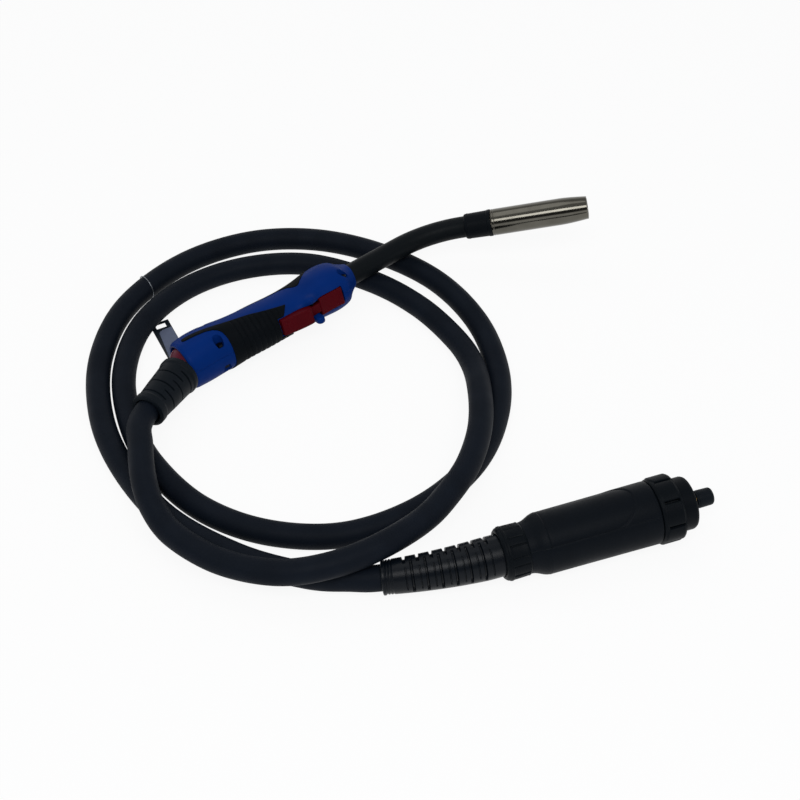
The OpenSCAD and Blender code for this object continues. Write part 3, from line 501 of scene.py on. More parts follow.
class TorchSizes(bpy.types.PropertyGroup):
    """Sizes of the dressed torch that a user would change."""

    cable_diameter: FloatProperty(
        name="Cable diameter", description="Outer diameter of the coaxial cable",
        default=0.02, min=0.016, max=0.0205, unit="LENGTH")
    cable_step: FloatProperty(
        name="Cable ring step", description="Distance between the rings of the cable's skin",
        default=0.004, min=0.002, max=0.02, unit="LENGTH")
    floor_size: FloatProperty(
        name="Floor size", description="Width of the floor under the torch",
        default=30.0, min=2.0, max=100.0, unit="LENGTH")


def colour_setting(label, name):
    """Colour property of a moulded finish."""
    return FloatVectorProperty(
        name=label, description=f"Colour of the finish on the {label.lower()}",
        default=srgb(*MOULDED[name][0]), subtype="COLOR", min=0.0, max=1.0)


class TorchColours(bpy.types.PropertyGroup):
    """Colours of the main finishes; each has its finish's name."""

    blue_shell: colour_setting("Handle shells", "blue_shell")
    soft_grip: colour_setting("Grips", "soft_grip")
    red_plastic: colour_setting("Trigger", "red_plastic")
    red_ball: colour_setting("Ball", "red_ball")
    cable_rubber: colour_setting("Cable", "cable_rubber")


class TorchLight(bpy.types.PropertyGroup):
    """Light of the stage."""

    key_power: FloatProperty(
        name="Key light", description="Power of the long lamp above the near side",
        default=15.0, min=0.0, max=200.0, unit="POWER")
    fill_power: FloatProperty(
        name="Top light", description="Power of the soft lamp over the far side",
        default=4.0, min=0.0, max=200.0, unit="POWER")
    floor_colour: FloatVectorProperty(
        name="Floor colour", description="Colour of the floor under the torch",
        default=(0.96, 0.96, 0.96), subtype="COLOR", min=0.0, max=1.0)


# ---- Stage ----

CAMERA_AT, BELOW_LEVEL, LENS = (0.024, -0.86515, 0.85197), 47, 62.94
ROOM_LIGHT, BAND_SHADE, CEILING_SHADE = 0.42, 0.06, 0.45
FLOOR_GLOW, FLOOR_DROP = 0.91, 0.0003


def camera(scene):
    """The camera on the near side, looking down."""
    data = bpy.data.cameras.new("view_camera")
    data.sensor_width, data.lens = 36.0, LENS
    data.clip_start, data.clip_end = 0.02, 60
    scene.camera = linked("view_camera", data)
    scene.camera.location = CAMERA_AT
    scene.camera.rotation_euler = (math.radians(90 - BELOW_LEVEL), 0, 0)


def area_lamp(name, power, wide, deep, place, aim):
    """Rectangular lamp at a place, aimed at a point."""
    lamp = bpy.data.lights.new(name, "AREA")
    lamp.energy, lamp.shape = power, "RECTANGLE"
    lamp.size, lamp.size_y = wide, deep
    obj = linked(name, lamp)
    obj.location = place
    away = np.array(place, float) - np.array(aim, float)
    flat = math.hypot(away[0], away[1])
    obj.rotation_euler = (math.atan2(flat, away[2]), 0, math.atan2(away[0], -away[1]))


def combined(tree, operation, first, second):
    """Two values taken together by a Math node."""
    return node(tree, "ShaderNodeMath", [(0, first), (1, second)], operation=operation).outputs[0]


def mixed(tree, amount, first, second, output):
    """Two shaders mixed by an amount, led to the tree's output."""
    mix = node(tree, "ShaderNodeMixShader", [
        (0, amount), (1, first.outputs[0]), (2, second.outputs[0])])
    node(tree, output, [("Surface", mix.outputs[0])])


def room(scene):
    """White room with even light. Seen or mirrored it has a shaded ceiling, and high on the
    near side a dark band, which gives the metal and the plastic their dark reflections."""
    world = bpy.data.worlds.new("studio")
    world.use_nodes = True
    scene.world = world
    tree = world.node_tree
    tree.nodes.clear()
    path = node(tree, "ShaderNodeLightPath").outputs
    seen = combined(tree, "MAXIMUM", path["Is Camera Ray"], path["Is Transmission Ray"])
    seen = combined(tree, "MAXIMUM", seen, path["Is Glossy Ray"])
    coords = node(tree, "ShaderNodeTexCoord")
    way = node(tree, "ShaderNodeSeparateXYZ", [(0, coords.outputs["Generated"])]).outputs
    soft = {"interpolation_type": "SMOOTHSTEP"}
    ceiling = spread(tree, way["Z"], 0.3, 0.6, (1.0, CEILING_SHADE), **soft)
    near = spread(tree, way["Y"], -0.25, -0.45, **soft)
    over = spread(tree, way["Z"], 0.24, 0.36, **soft)
    band = combined(tree, "MULTIPLY", near, over)
    even = node(tree, "ShaderNodeBackground", [
        ("Color", (0.93, 0.96, 1, 1)), ("Strength", ROOM_LIGHT)])
    white = node(tree, "ShaderNodeBackground", [
        ("Color", (1, 1, 1, 1)),
        ("Strength", spread(tree, band, 0.0, 1.0, (ceiling, BAND_SHADE)))])
    mixed(tree, seen, even, white, "ShaderNodeOutputWorld")


def floor_sheet(size, colour):
    """Square floor just under the torch, diffuse with a share of glow where it is seen."""
    half = size / 2
    mesh = bpy.data.meshes.new("floor")
    mesh.from_pydata(
        [(-half, -half, 0), (half, -half, 0), (half, half, 0), (-half, half, 0)], [],
        [(0, 1, 2, 3)])
    mat = bpy.data.materials.new("floor_paper")
    mat.use_nodes = True
    tree = mat.node_tree
    tree.nodes.clear()
    path = node(tree, "ShaderNodeLightPath").outputs
    seen = combined(tree, "MAXIMUM", path["Is Camera Ray"], path["Is Glossy Ray"])
    paper = node(tree, "ShaderNodeBsdfDiffuse", [("Color", (*colour, 1))])
    glow = node(tree, "ShaderNodeEmission", [("Color", (1, 1, 1, 1)), ("Strength", 1.0)])
    mixed(tree, combined(tree, "MULTIPLY", seen, FLOOR_GLOW), paper, glow,
          "ShaderNodeOutputMaterial")
    mesh.materials.append(mat)
    floor = linked("floor", mesh)
    floor.location.z = -FLOOR_DROP


class TORCH_OT_stage(bpy.types.Operator):
    """Camera, lamps, white surroundings and the floor"""

    bl_idname = "torch.stage"
    bl_label = "Stage"

    def execute(self, context):
        scene, light = context.scene, context.scene.torch_light
        scene.view_settings.view_transform = "Standard"
        camera(scene)
        area_lamp("key_lamp", light.key_power, 1.5, 0.62, (0.1, -1.0, 1.6), (0, -0.05, 0))
        area_lamp("top_lamp", light.fill_power, 1.2, 1.2, (-0.5, 0.7, 1.9), (0, 0, 0))
        room(scene)
        floor_sheet(scene.torch_sizes.floor_size, light.floor_colour)
        return {"FINISHED"}


# ---- Cable ----


class TORCH_OT_cable(bpy.types.Operator):
    """The coaxial cable, wound a little over twice round on the surface it lies on"""

    bl_idname = "torch.cable"
    bl_label = "Cable"

    def execute(self, context):
        sizes = context.scene.torch_sizes
        line = evenly(spline(ROUTE, 12) * MM, sizes.cable_step)
        skin = piece("cable", [swept(line, sizes.cable_diameter / 2)], "cable",
                     "cable_rubber", ["power_cable"])
        return {"FINISHED"}


# ---- Handle ----

# The handle's outline: x along it, and half its width, its depth behind and in front
HALF_WIDTH = np.array([
    [RIM_X, 20.6], [8, 21.6], [25, 21], [45, 19], [70, 18], [92, 17.4], [110, 18],
    [128, 19.6], [140, 20], [150, 18.2], [NOSE_X - 9, 15], [NOSE_X - 4, 12.4],
    [NOSE_X, 10.8]])
BACK = np.array([
    [RIM_X, 21], [8, 24.3], [25, 23.8], [45, 20.5], [70, 18], [92, 16], [108, 16.8],
    [125, 20.5], [138, 22.8], [150, 20.5], [NOSE_X - 9, 16], [NOSE_X - 4, 12.8],
    [NOSE_X, 10.8]])
FRONT = np.array([
    [RIM_X, 20.6], [8, 19.4], [25, 19], [45, 20.5], [65, 23], [80, 23.6], [100, 24],
    [120, 23.8], [138, 24.2], [150, 22.2], [NOSE_X - 9, 18], [NOSE_X - 4, 13.6],
    [NOSE_X, 10.8]])
ROUNDNESS = 2.25
SCREWS = ((24, 14.4), (24, -14.4), (151, -13.6))  # x and z of each
PIVOT_X, FACE_Z = 112.5, -24.5
PARTING = 0.05  # each half stands that far off the middle plane
SHOULDER_X, SHOULDER_RISE = 110.5, 5.6
LUG_R, LUG_Z = 3.8, -28.2


def curve(table, x):
    """Cubic Hermite curve through (x, value) rows, with slopes from the neighbours."""
    x = np.clip(x, table[0, 0], table[-1, 0])
    i = np.clip(np.searchsorted(table[:, 0], x, side="right") - 1, 0, len(table) - 2)
    last = len(table) - 1
    lo, hi = np.maximum(np.arange(last + 1) - 1, 0), np.minimum(np.arange(last + 1) + 1, last)
    slope = (table[hi, 1] - table[lo, 1]) / (table[hi, 0] - table[lo, 0])
    h = table[i + 1, 0] - table[i, 0]
    u = (x - table[i, 0]) / h
    return (
        table[i, 1] * (1 + 2 * u) * (1 - u) ** 2 + h * slope[i] * u * (1 - u) ** 2
        + table[i + 1, 1] * u * u * (3 - 2 * u) + h * slope[i + 1] * u * u * (u - 1)
    )


def handle_point(x, a, rise=0.0):
    """Point of the handle at x and at angle a in degrees from the trigger's side: a
    superellipse of half width, front depth and back depth, each moved out by rise."""
    x, a, rise = np.broadcast_arrays(np.asarray(x, float), np.asarray(a, float), rise)
    e = 2 / ROUNDNESS
    s, c = np.sin(np.radians(a)), np.cos(np.radians(a))
    w = curve(HALF_WIDTH, x) + rise
    blend = 1 / (1 + np.exp((np.abs(a) - 90) * -0.4))
    d = curve(FRONT, x) * (1 - blend) + curve(BACK, x) * blend + rise
    return np.stack([
        x, w * np.sign(s) * np.abs(s) ** e, -np.sign(c) * d * np.abs(c) ** e], -1)


def half_shell(side):
    """Closed half of the handle's body on one side, as a loft of the outer sections with
    flat ends and a flat parting face. Its edges are sunk by a hair for the parting line, the
    rear rim is drawn in, and the near side has a round shoulder over the trigger's pivot."""
    x = joined(np.linspace(RIM_X, RIM_X + 3, 7), np.linspace(RIM_X + 3, NOSE_X - 12, 150),
               np.linspace(NOSE_X - 12, NOSE_X, 26))
    a = joined([0, 0.35, 0.7, 1.1, 1.6], np.linspace(2.4, 177.6, 74),
               [178.4, 178.9, 179.3, 179.65, 180])
    edge = np.minimum(a, 180 - a)
    sink = -0.3 * np.clip(1 - edge / 1.3, 0, 1) ** 1.5
    lip = -1.6 * np.clip(1 - (x - RIM_X) / 3.5, 0, 1) ** 2
    rise = sink[None] + lip[:, None]
    if side < 0:
        rise = rise + SHOULDER_RISE * np.exp(
            -(((x[:, None] - SHOULDER_X) / 6.6) ** 2)) * np.exp(-(((a[None] - 30) / 12) ** 2))
    p = handle_point(x[:, None], a[None], rise)
    p[:, :, 1] = np.maximum(p[:, :, 1], PARTING)
    q = np.stack([x, np.full(len(x), PARTING), np.zeros(len(x))], -1)[:, None]
    ring = np.concatenate([p, q], 1)
    ring[..., 1] *= side
    first = np.repeat(np.array([[[x[0], 6 * side, 0]]]), ring.shape[1], 1)
    last = np.repeat(np.array([[[x[-1], 4 * side, 0]]]), ring.shape[1], 1)
    return grid(HANDLE.out(np.concatenate([first, ring, last])))


def hollow():
    """Solid of revolution that the shells leave free: lip, ball, seat, hollow and neck."""
    bore, ring = 9.56, 12.56
    return turned(HANDLE, [
        (RIM_X - 4, 0), (RIM_X - 4, 18.4), (RIM_X - 0.2, 18.2, 0.6), (-3.9, 17.15, 0.3),
        (-3.9, 18.92), (8.3, 18.92), (8.3, 16.1), (10, 16.1, 1), (19, 13, 1), (119.5, 13),
        (119.5, bore), (133.9, bore), (133.9, ring), (138.1, ring), (138.1, bore),
        (NOSE_X - 1.2, bore, 0.5), (NOSE_X + 1.5, 11.2), (NOSE_X + 1.5, 0)],
        sides=96, closed=False)


def rounded_block(x0, x1, half_y, z0, z1, radius):
    """Closed block with rounded upright corners: a rounded rectangle carried along Z."""
    corner = np.linspace(0, math.pi / 2, 7)
    ring = np.concatenate([
        np.stack([cx + radius * np.cos(corner + k * math.pi / 2),
                  cy + radius * np.sin(corner + k * math.pi / 2)], -1)
        for k, (cx, cy) in enumerate((
            (x1 - radius, half_y - radius), (x0 + radius, half_y - radius),
            (x0 + radius, radius - half_y), (x1 - radius, radius - half_y)))])
    mid = np.repeat([[(x0 + x1) / 2, 0.0]], len(ring), 0)
    return stacked(HANDLE, [(mid, z0), (ring, z0), (ring, z1), (mid, z1)])


def across(x, z, profile, side):
    """Solid of revolution about a line along the handle's Y through x, z; profile is of
    (distance from the middle plane, radius)."""
    place = HANDLE.inner([x, 0, z], turn("z", 90 * side))
    return turned(place, profile, sides=32, closed=False)


def cut(obj, tools):
    """Takes closed (points, faces) forms away from a piece, each as one exact difference."""
    for points, faces in tools:
        mesh = welded("tool", points, faces.tolist(), lambda work: (
            bmesh.ops.recalc_face_normals(work, faces=work.faces)))
        tool = linked("tool", mesh)
        mod = obj.modifiers.new("cut", "BOOLEAN")
        mod.operation, mod.solver, mod.object = "DIFFERENCE", "EXACT", tool
        apply_modifiers(obj)
        bpy.data.objects.remove(tool)
        bpy.data.meshes.remove(mesh)


def apply_modifiers(obj):
    """Replaces the piece's mesh with what its modifiers give."""
    bpy.context.view_layer.update()
    graph = bpy.context.evaluated_depsgraph_get()
    made = bpy.data.meshes.new_from_object(obj.evaluated_get(graph), depsgraph=graph)
    obj.modifiers.clear()
    old = obj.data
    obj.data = made
    bpy.data.meshes.remove(old)


def lug():
    """Rounded cheek below the trigger's waist: a stadium-ended plate carried along Y."""
    outline = [(PIVOT_X + LUG_R, -14.0)] + [
        (PIVOT_X + LUG_R * math.cos(t), LUG_Z - LUG_R * math.sin(t))
        for t in np.linspace(0, math.pi, 25)] + [(PIVOT_X - LUG_R, -14.0)]
    return prism(HANDLE, outline[::-1], 4.6, 10.4)


def add_lug(shell):
    """Joins a lug with round edges to a shell, and shades both as one."""
    cheek = piece("cheek", [lug()], "handle", "blue_shell")
    bevelled(cheek, 1.6, 4, 50)
    apply_modifiers(cheek)
    work = bmesh.new()
    work.from_mesh(shell.data)
    work.from_mesh(cheek.data)
    work.to_mesh(shell.data)
    work.free()
    bpy.data.objects.remove(cheek)
    shell.data.shade_smooth()
    shell.data.set_sharp_from_angle(angle=math.radians(32))


class TORCH_OT_shells(bpy.types.Operator):
    """The two blue shells, with the trigger's wells, the screw pockets and the far side's lug"""

    bl_idname = "torch.shells"
    bl_label = "Handle shells"

    def execute(self, context):
        for side, name, pocket in ((1, "left", 4.0), (-1, "right", 4.1)):
            shell = piece(
                f"shell_{name}", [half_shell(side)], "handle", "blue_shell",
                [f"handle_shell_{name}"])
            cut(shell, [
                hollow(),
                rounded_block(77.5, 117, 8.2, -40, -11.8, 1.4),
                rounded_block(116.37, 142.6, 8.73, -40, -17.47, 1.6),
            ] + [across(x, z, [
                (-1, 0), (-1, 1.55), (8.6, 1.55), (8.6, pocket), (30, pocket), (30, 0)], side)
                for x, z in SCREWS])
            if side > 0:
                add_lug(shell)
        return {"FINISHED"}


# Edges of the pads: x along the handle, and the angle from the trigger's side
GRIP_FROM = np.array([
    [-0.8, 91.6], [-0.4, 89.6], [0.4, 88], [1.6, 86.8], [12, 83.8], [20, 81], [26, 75],
    [29.5, 66], [31.2, 55], [32.1, 40], [32.45, 24], [32.5, 0], [77.2, 0], [77.4, 26],
    [83.6, 27], [86, 34], [88.5, 44], [91, 53]])
GRIP_TO = np.array([
    [-0.8, 93], [-0.4, 94.8], [0.4, 96], [1.6, 96.6], [8, 96], [20, 92.5], [36, 86.5],
    [51, 80], [60, 75], [70, 67], [82, 59], [91, 54]])
THUMB_FROM = np.array([
    [42, 178], [50, 146], [60, 130], [73, 123], [86, 119], [96, 108], [103, 95], [108, 85],
    [112, 83], [116, 89], [123, 104], [129, 122], [133, 150], [135, 178]])
GRIP_RISE, THUMB_RISE, PAD_DEPTH, RIB_PITCH = 0.85, 0.5, 0.6, 4.8


def pad(x, start, end, side, height, ribs=None, columns=40):
    """Soft pad on the handle between two edges (angles over x): a grid whose rise is a
    plateau with a quarter round 1 mm wide along its edges, with ribs as shallow furrows."""
    v = 0.5 - 0.5 * np.cos(np.linspace(0, 1, columns) * math.pi)
    a = start[:, None] + (end - start)[:, None] * v[None]
    on = handle_point(x[:, None], a)
    reach = np.linalg.norm(np.diff(on, axis=1), axis=2)
    along = np.concatenate([np.zeros((len(x), 1)), np.cumsum(reach, 1)], 1)
    from_start = np.where(start[:, None] > 0.5, along, 9.0)
    from_end = np.where(end[:, None] < 179.5, along[:, -1:] - along, 9.0)
    near = np.minimum(from_start, from_end)
    near = np.minimum(near, np.minimum(x - x[0], x[-1] - x)[:, None])
    rise = -0.35 + (height + 0.35) * np.sqrt(1 - (1 - np.clip(near, 0, 1)) ** 2)
    if ribs is not None:
        rise = rise - ribs(x[:, None]) * np.clip(near - 1.6, 0, 1)
    top = handle_point(x[:, None], a, rise)
    under = handle_point(x[:, None], a, -PAD_DEPTH)
    ring = np.concatenate([top, under[:, ::-1]], 1)
    ring[..., 1] *= side
    first = np.repeat(ring[:1].mean(1, keepdims=True), ring.shape[1], 1)
    last = np.repeat(ring[-1:].mean(1, keepdims=True), ring.shape[1], 1)
    return grid(HANDLE.out(np.concatenate([first, ring, last])))


def stations(table, x0, x1, step=0.6):
    """Places along the handle: even steps, and each corner of the table's edge."""
    x = np.concatenate([np.arange(x0, x1, step), table[:, 0], [x0, x1]])
    return np.unique(np.round(x[(x >= x0) & (x <= x1)], 3))


def grip_ribs(x):
    """Depth of soft waves round the grip, up to 0.6 mm, with a fine line in each trough."""
    wave = 0.5 + 0.5 * np.cos(x / RIB_PITCH * 2 * math.pi)
    on = window(x, 38, 44, 84, 88)
    return (0.32 * wave**2 + 0.28 * smooth_step(wave, 0.84, 0.98)) * on


class TORCH_OT_grips(bpy.types.Operator):
    """The soft grips and the thumb pads"""

    bl_idname = "torch.grips"
    bl_label = "Soft grips"

    def execute(self, context):
        for side, name in ((1, "left"), (-1, "right")):
            x = stations(GRIP_FROM, -0.8, 91, 0.45)
            grip = pad(x, np.interp(x, *GRIP_FROM.T), curve(GRIP_TO, x), side, GRIP_RISE,
                       grip_ribs, 56)
            piece(f"grip_pad_{name}", [grip], "handle", "soft_grip",
                  [f"grip_{name}"])
            x = stations(THUMB_FROM, 42, 135)
            rest = pad(x, curve(THUMB_FROM, x), np.full(len(x), 180.0), side, THUMB_RISE)
            piece(f"thumb_rest_{name}", [rest], "handle", "soft_grip",
                  [f"thumb_pad_{name}"])
        return {"FINISHED"}


# ---- Trigger ----

LEVER_HALF, PLATE_HALF, WAIST_HALF = 7.55, 8.0, 4.2
RIDGE_PITCH, RIDGE_HEIGHT = 1.5, 0.22


def ridged(x0, x1, z):
    """Points along a face from x0 to x1 with even round ridges; z gives the face's height."""
    x = np.arange(x0, x1, RIDGE_PITCH / 6)
    wave = RIDGE_HEIGHT * np.clip(np.cos((x - x0) / RIDGE_PITCH * 2 * math.pi) + 0.3, -1, 1)
    return np.stack([x, z(x) - wave * 0.5 - RIDGE_HEIGHT * 0.2], -1).tolist()


def lever_face(x):
    """Height of the finger lever's face: it sinks along a quarter sine over 27 mm."""
    return FACE_Z + 0.1 - 4.4 * np.sin((x - 79) / 27 * math.pi / 2)


def plate_face(x):
    """Height of the front plate's face: hollow along half a sine."""
    return FACE_Z + 0.4 + 0.9 * np.sin((x - 117.4) / 26.2 * math.pi)


class TORCH_OT_trigger(bpy.types.Operator):
    """The red rocker: finger lever, waist and front plate, with ridged faces"""

    bl_idname = "torch.trigger"
    bl_label = "Trigger"

    def execute(self, context):
        lever = prism(HANDLE, [
            [107.6, -15.5], [78.9, -15.5], [78.9, -22.6], [79.3, -24.0], [80.3, FACE_Z - 0.2]]
            + ridged(81, 87, lever_face)
            + [[x, lever_face(x)] for x in np.arange(87.8, 105, 1.6)]
            + [[105.6, FACE_Z - 4.2], [107.1, FACE_Z - 3.9], [107.6, FACE_Z - 2.7]],
            -LEVER_HALF, LEVER_HALF)
        plate = prism(HANDLE, [
            [141.6, -18.4], [118.2, -18.4], [118.2, FACE_Z + 1.1], [119, FACE_Z + 0.4]]
            + [[x, plate_face(x)] for x in np.arange(119.9, 133, 1.5)]
            + ridged(133.4, 139.4, plate_face)
            + [[140.2, FACE_Z + 0.3], [141.2, FACE_Z + 0.5], [141.6, FACE_Z + 1.4]],
            -PLATE_HALF, PLATE_HALF)
        waist = prism(HANDLE, [
            [106.4, -16.6], [106.4, -23.7], [109, -23.9], [PIVOT_X, -23.5], [116, -23.3],
            [118.6, -23.2], [118.6, -18.6]], -WAIST_HALF, WAIST_HALF)
        rocker = piece(
            "trigger_rocker", [lever, plate, waist], "trigger", "red_plastic",
            ["trigger"])
        bevelled(rocker, 0.6, 3, 50)
        return {"FINISHED"}


# ---- Ball and swivel boot ----


def slotted(place, s, radius, inner, slots, depth, mouth=0.35, bend=None, sides=144):
    """Closed sleeve along a place's -X: outer radius by distance back from the place's
    origin, with slots pressed in. Each slot is (distance, half width, angle, half sweep, and
    a depth if it isn't the usual one) in millimetres and degrees. mouth widens the bore at
    the front. bend turns straight points into the bent ones."""
    length = s.max()
    edges = [np.array([at - half - 0.3, at - half, at - half * 0.6, at,
                       at + half * 0.6, at + half, at + half + 0.3])
             for at, half in (slot[:2] for slot in slots)]
    s = np.unique(np.round(np.concatenate([s, *edges]), 3))
    s = s[(s >= 0) & (s <= length)]
    a = np.linspace(0, 360, sides, endpoint=False)
    r = np.repeat(radius(s)[:, None], sides, 1)
    for at, half, middle, sweep, *own in slots:
        along = 1 - smooth_step(np.abs(s - at), half * 0.55, half + 0.15)
        off = np.abs((a - middle + 180) % 360 - 180)
        round_end = 1 - smooth_step(off, sweep - 3.0, sweep + 1.0)
        r = r - (own[0] if own else depth) * along[:, None] * round_end[None]
    outer = about_x(-s[:, None], r, np.radians(a))
    back = np.array([s[-1], s[-1] - 3, s[0] + 5, s[0] + 0.6, s[0]])[:, None]
    wider = np.array([0.35, 0, 0, mouth * 0.85, mouth])[:, None]
    pts = np.concatenate([outer, about_x(-back, inner + wider, np.radians(a)), outer[:1]])
    if bend:
        pts = bend(pts)
    return grid(place.out(pts))


BALL_R, TAIL_BORE, BALL_BORE = 17.5, 10.15, 13.05
BOOT_START, BOOT_BORE, JOINT_BOOT_LEN = -15.9, 11.05, 51.5
# The joint boot's outer radius by distance from its mouth
JOINT_BOOT = np.array([
    [0, 16.3], [0.6, 17.0], [1.4, 17.3], [4.6, 17.4], [5.6, 17.2], [6.3, 16.5], [14, 15.9],
    [28, 15.1], [40, 14.2], [43.9, 13.9], [44.4, 14.4], [45.2, 14.65], [50.2, 14.65],
    [51, 14.4], [51.5, 13.3]])


class TORCH_OT_swivel(bpy.types.Operator):
    """The ball with its tail, and the slotted boot that covers the tail"""

    bl_idname = "torch.swivel"
    bl_label = "Swivel"

    def execute(self, context):
        ball = [(BALL_R * math.cos(t), BALL_R * math.sin(t))
                for t in np.linspace(math.radians(51), math.radians(142), 40)]
        piece("ball", [turned(BALL, [(3, BALL_BORE), (11, BALL_BORE, 0.4), *ball,
                                     (-14.2, 11.0, 0.6), (-27, 11, 0.5), (-27, TAIL_BORE),
                                     (3, TAIL_BORE)], sides=96)],
              "ball", "red_ball", ["swivel_ball"])
        slots = [(10.4 + 6.1 * i, 0.5, 4 + 90 * (i % 2) + 180 * k, 58)
                 for i in range(6) for k in (0, 1)]
        boot = slotted(
            BALL.inner([BOOT_START, 0, 0], np.eye(3)), np.linspace(0, JOINT_BOOT_LEN, 72),
            lambda s: np.interp(s, *JOINT_BOOT.T), BOOT_BORE, slots, depth=1.5, mouth=5.0)
        piece("joint_boot", [boot], "ball", "boot_rubber", ["swivel_boot"])
        return {"FINISHED"}


# ---- Neck and nozzle ----

NECK_OUTER_R, NECK_BORE_R = 9.5, 6.55
NOZZLE_X0, TAPER_X, NOZZLE_X1 = 24.3, 84.3, 109.8
NOZZLE_R, NOZZLE_BORE_R, MOUTH_R = 11.8, 10.1, 8.3


def neck_line(x0, end, step=1.5):
    """The neck's centre line in the handle's frame: straight, arc, straight."""
    x = np.arange(x0, BEND_X, step)
    t = np.radians(np.linspace(0, NECK_BEND, 40))
    arc = np.stack([
        BEND_X + NECK_R * np.sin(t), np.zeros(len(t)), -NECK_R * (1 - np.cos(t))], -1)
    way = np.array([math.cos(t[-1]), 0, -math.sin(t[-1])])
    tail = arc[-1] + np.linspace(0.8, AFTER_BEND + end, 14)[:, None] * way
    return np.concatenate([np.stack([x, x * 0, x * 0], -1), arc, tail])


class TORCH_OT_neck(bpy.types.Operator):
    """The neck's black cover and the insulating sleeve behind the nozzle"""

    bl_idname = "torch.neck"
    bl_label = "Neck"

    def execute(self, context):
        line = HANDLE.out(neck_line(128, 12))
        up, sides = HANDLE.axes[:, 1], 56
        outer, core = (
            swept(way, r * MM, sides, up, capped=False)[0].reshape(len(line), sides, 3)
            for way, r in ((line, NECK_OUTER_R), (line[::-1], NECK_BORE_R)))
        core = core[:, ::-1]
        nearest = np.argmin(np.linalg.norm(core[0] - outer[-1][0], axis=1))
        tube = grid(np.concatenate([outer, np.roll(core, -nearest, axis=1), outer[:1]]))
        flange = turned(HANDLE, [(134, 9.2), (138, 9.2), (138, 12.5, 0.3), (134, 12.5, 0.3)])
        piece("neck", [tube, flange], "handle", "neck_cover", ["neck_cover"])
        sleeve = turned(NECK_END, [
            (0, 9.56), (0, 10.2, 0.2), (0.9, 11.1, 0.5), (3.4, 11.5, 0.4), (3.9, 11.25, 0.2),
            (20.6, 11.55, 0.3), (21.2, 11.95, 0.3), (24, 12.0, 0.35), (24, 8.56), (12.05, 8.56),
            (12.05, 9.56)], sides=96)
        piece("sleeve", [sleeve], "handle", "black_plastic",
              ["nozzle_sleeve"])
        return {"FINISHED"}


class TORCH_OT_nozzle(bpy.types.Operator):
    """The plated gas nozzle: straight body, soft shoulder and a rounded mouth"""

    bl_idname = "torch.nozzle"
    bl_label = "Gas nozzle"

    def execute(self, context):
        x0, x1 = NOZZLE_X0, NOZZLE_X1
        taper = [(TAPER_X + (x1 - 1.1 - TAPER_X) * u,
                  NOZZLE_R - 1.75 * (u * u * (1.55 - 0.55 * u)))
                 for u in np.linspace(0, 1, 26)]
        nozzle = turned(NECK_END, [
            (x0, NOZZLE_BORE_R), (x0, NOZZLE_R - 0.3, 0.3), (x0 + 0.7, NOZZLE_R, 0.4),
            (x0 + 1.9, NOZZLE_R, 0.2), (x0 + 2.2, 11.66, 0.1), (x0 + 2.6, 11.66, 0.1),
            (x0 + 2.9, NOZZLE_R, 0.2), *taper, (x1, 9.9, 0.7), (x1, MOUTH_R, 0.5),
            (x1 - 2, MOUTH_R, 0.6), (TAPER_X, NOZZLE_BORE_R, 6)], sides=128)
        piece("nozzle", [nozzle], "nozzle", "nickel", ["gas_nozzle"])
        return {"FINISHED"}


# ---- Plug ----

BOOT_R, BOOT_LEN, BOOT_ROLL = 336.0, 88.0, -16.0
BOOT_ROOT_R, BOOT_MOUTH_R, BOOT_STRAIGHT = 16.0, 12.7, 12.5
COLLAR_X0, COLLAR_X1, SKIRT_X1 = 121.5, 139.5, 151.5
LOBE_START, LOBE_TURN, LOBE_R = 64, 45, 26.0
FLUTE_START, FLUTE_TURN = 20.6, 45


def boot_bend(pts):
    """Bends straight points back along -X round a centre beside the plug's axis."""
    angle = -pts[..., 0] / BOOT_R
    reach = BOOT_R - pts[..., 1]
    bent = np.stack([
        -reach * np.sin(angle), BOOT_R - reach * np.cos(angle), pts[..., 2]], -1)
    return bent @ turn("x", BOOT_ROLL).T


def cable_boot_radius(s):
    """Radius of the cable boot by distance from its root: straight, then an even taper to a
    mouth with a rim and three fine rings."""
    end = BOOT_LEN - s
    r = np.where(s < BOOT_STRAIGHT, BOOT_ROOT_R, BOOT_ROOT_R + (
        BOOT_MOUTH_R - BOOT_ROOT_R) * (s - BOOT_STRAIGHT) / (BOOT_LEN - BOOT_STRAIGHT))
    r = np.where(end < 2.2, BOOT_MOUTH_R + 0.5, r)
    for k in range(3):
        r = r - 0.55 * np.exp(-(((end - 3.1 - 2.2 * k) / 0.5) ** 2))
    return r - 0.8 * np.clip(1 - end / 0.6, 0, 1) ** 2


class TORCH_OT_cable_boot(bpy.types.Operator):
    """The bent strain relief, with rows of slots that are turned against each other"""

    bl_idname = "torch.cable_boot"
    bl_label = "Cable boot"

    def execute(self, context):
        slots = []
        for i in range(7):
            at = 9.3 + 10.25 * i
            slots += [(at, 1.15, 140, 62), (at - 0.7, 0.4, 22, 40, 0.9)]
            if i:
                slots += [(at - 5.1, 0.8, 30, 62), (at - 5.1, 0.8, 210, 50)]
        s = np.concatenate([np.linspace(0, BOOT_LEN, 90), np.linspace(78, BOOT_LEN, 60)])
        sleeve = slotted(PLUG, s, cable_boot_radius, 10.05, slots, depth=2.3, bend=boot_bend)
        piece("strain_relief", [sleeve], "cable", "gloss_rubber",
              ["cable_boot"])
        return {"FINISHED"}


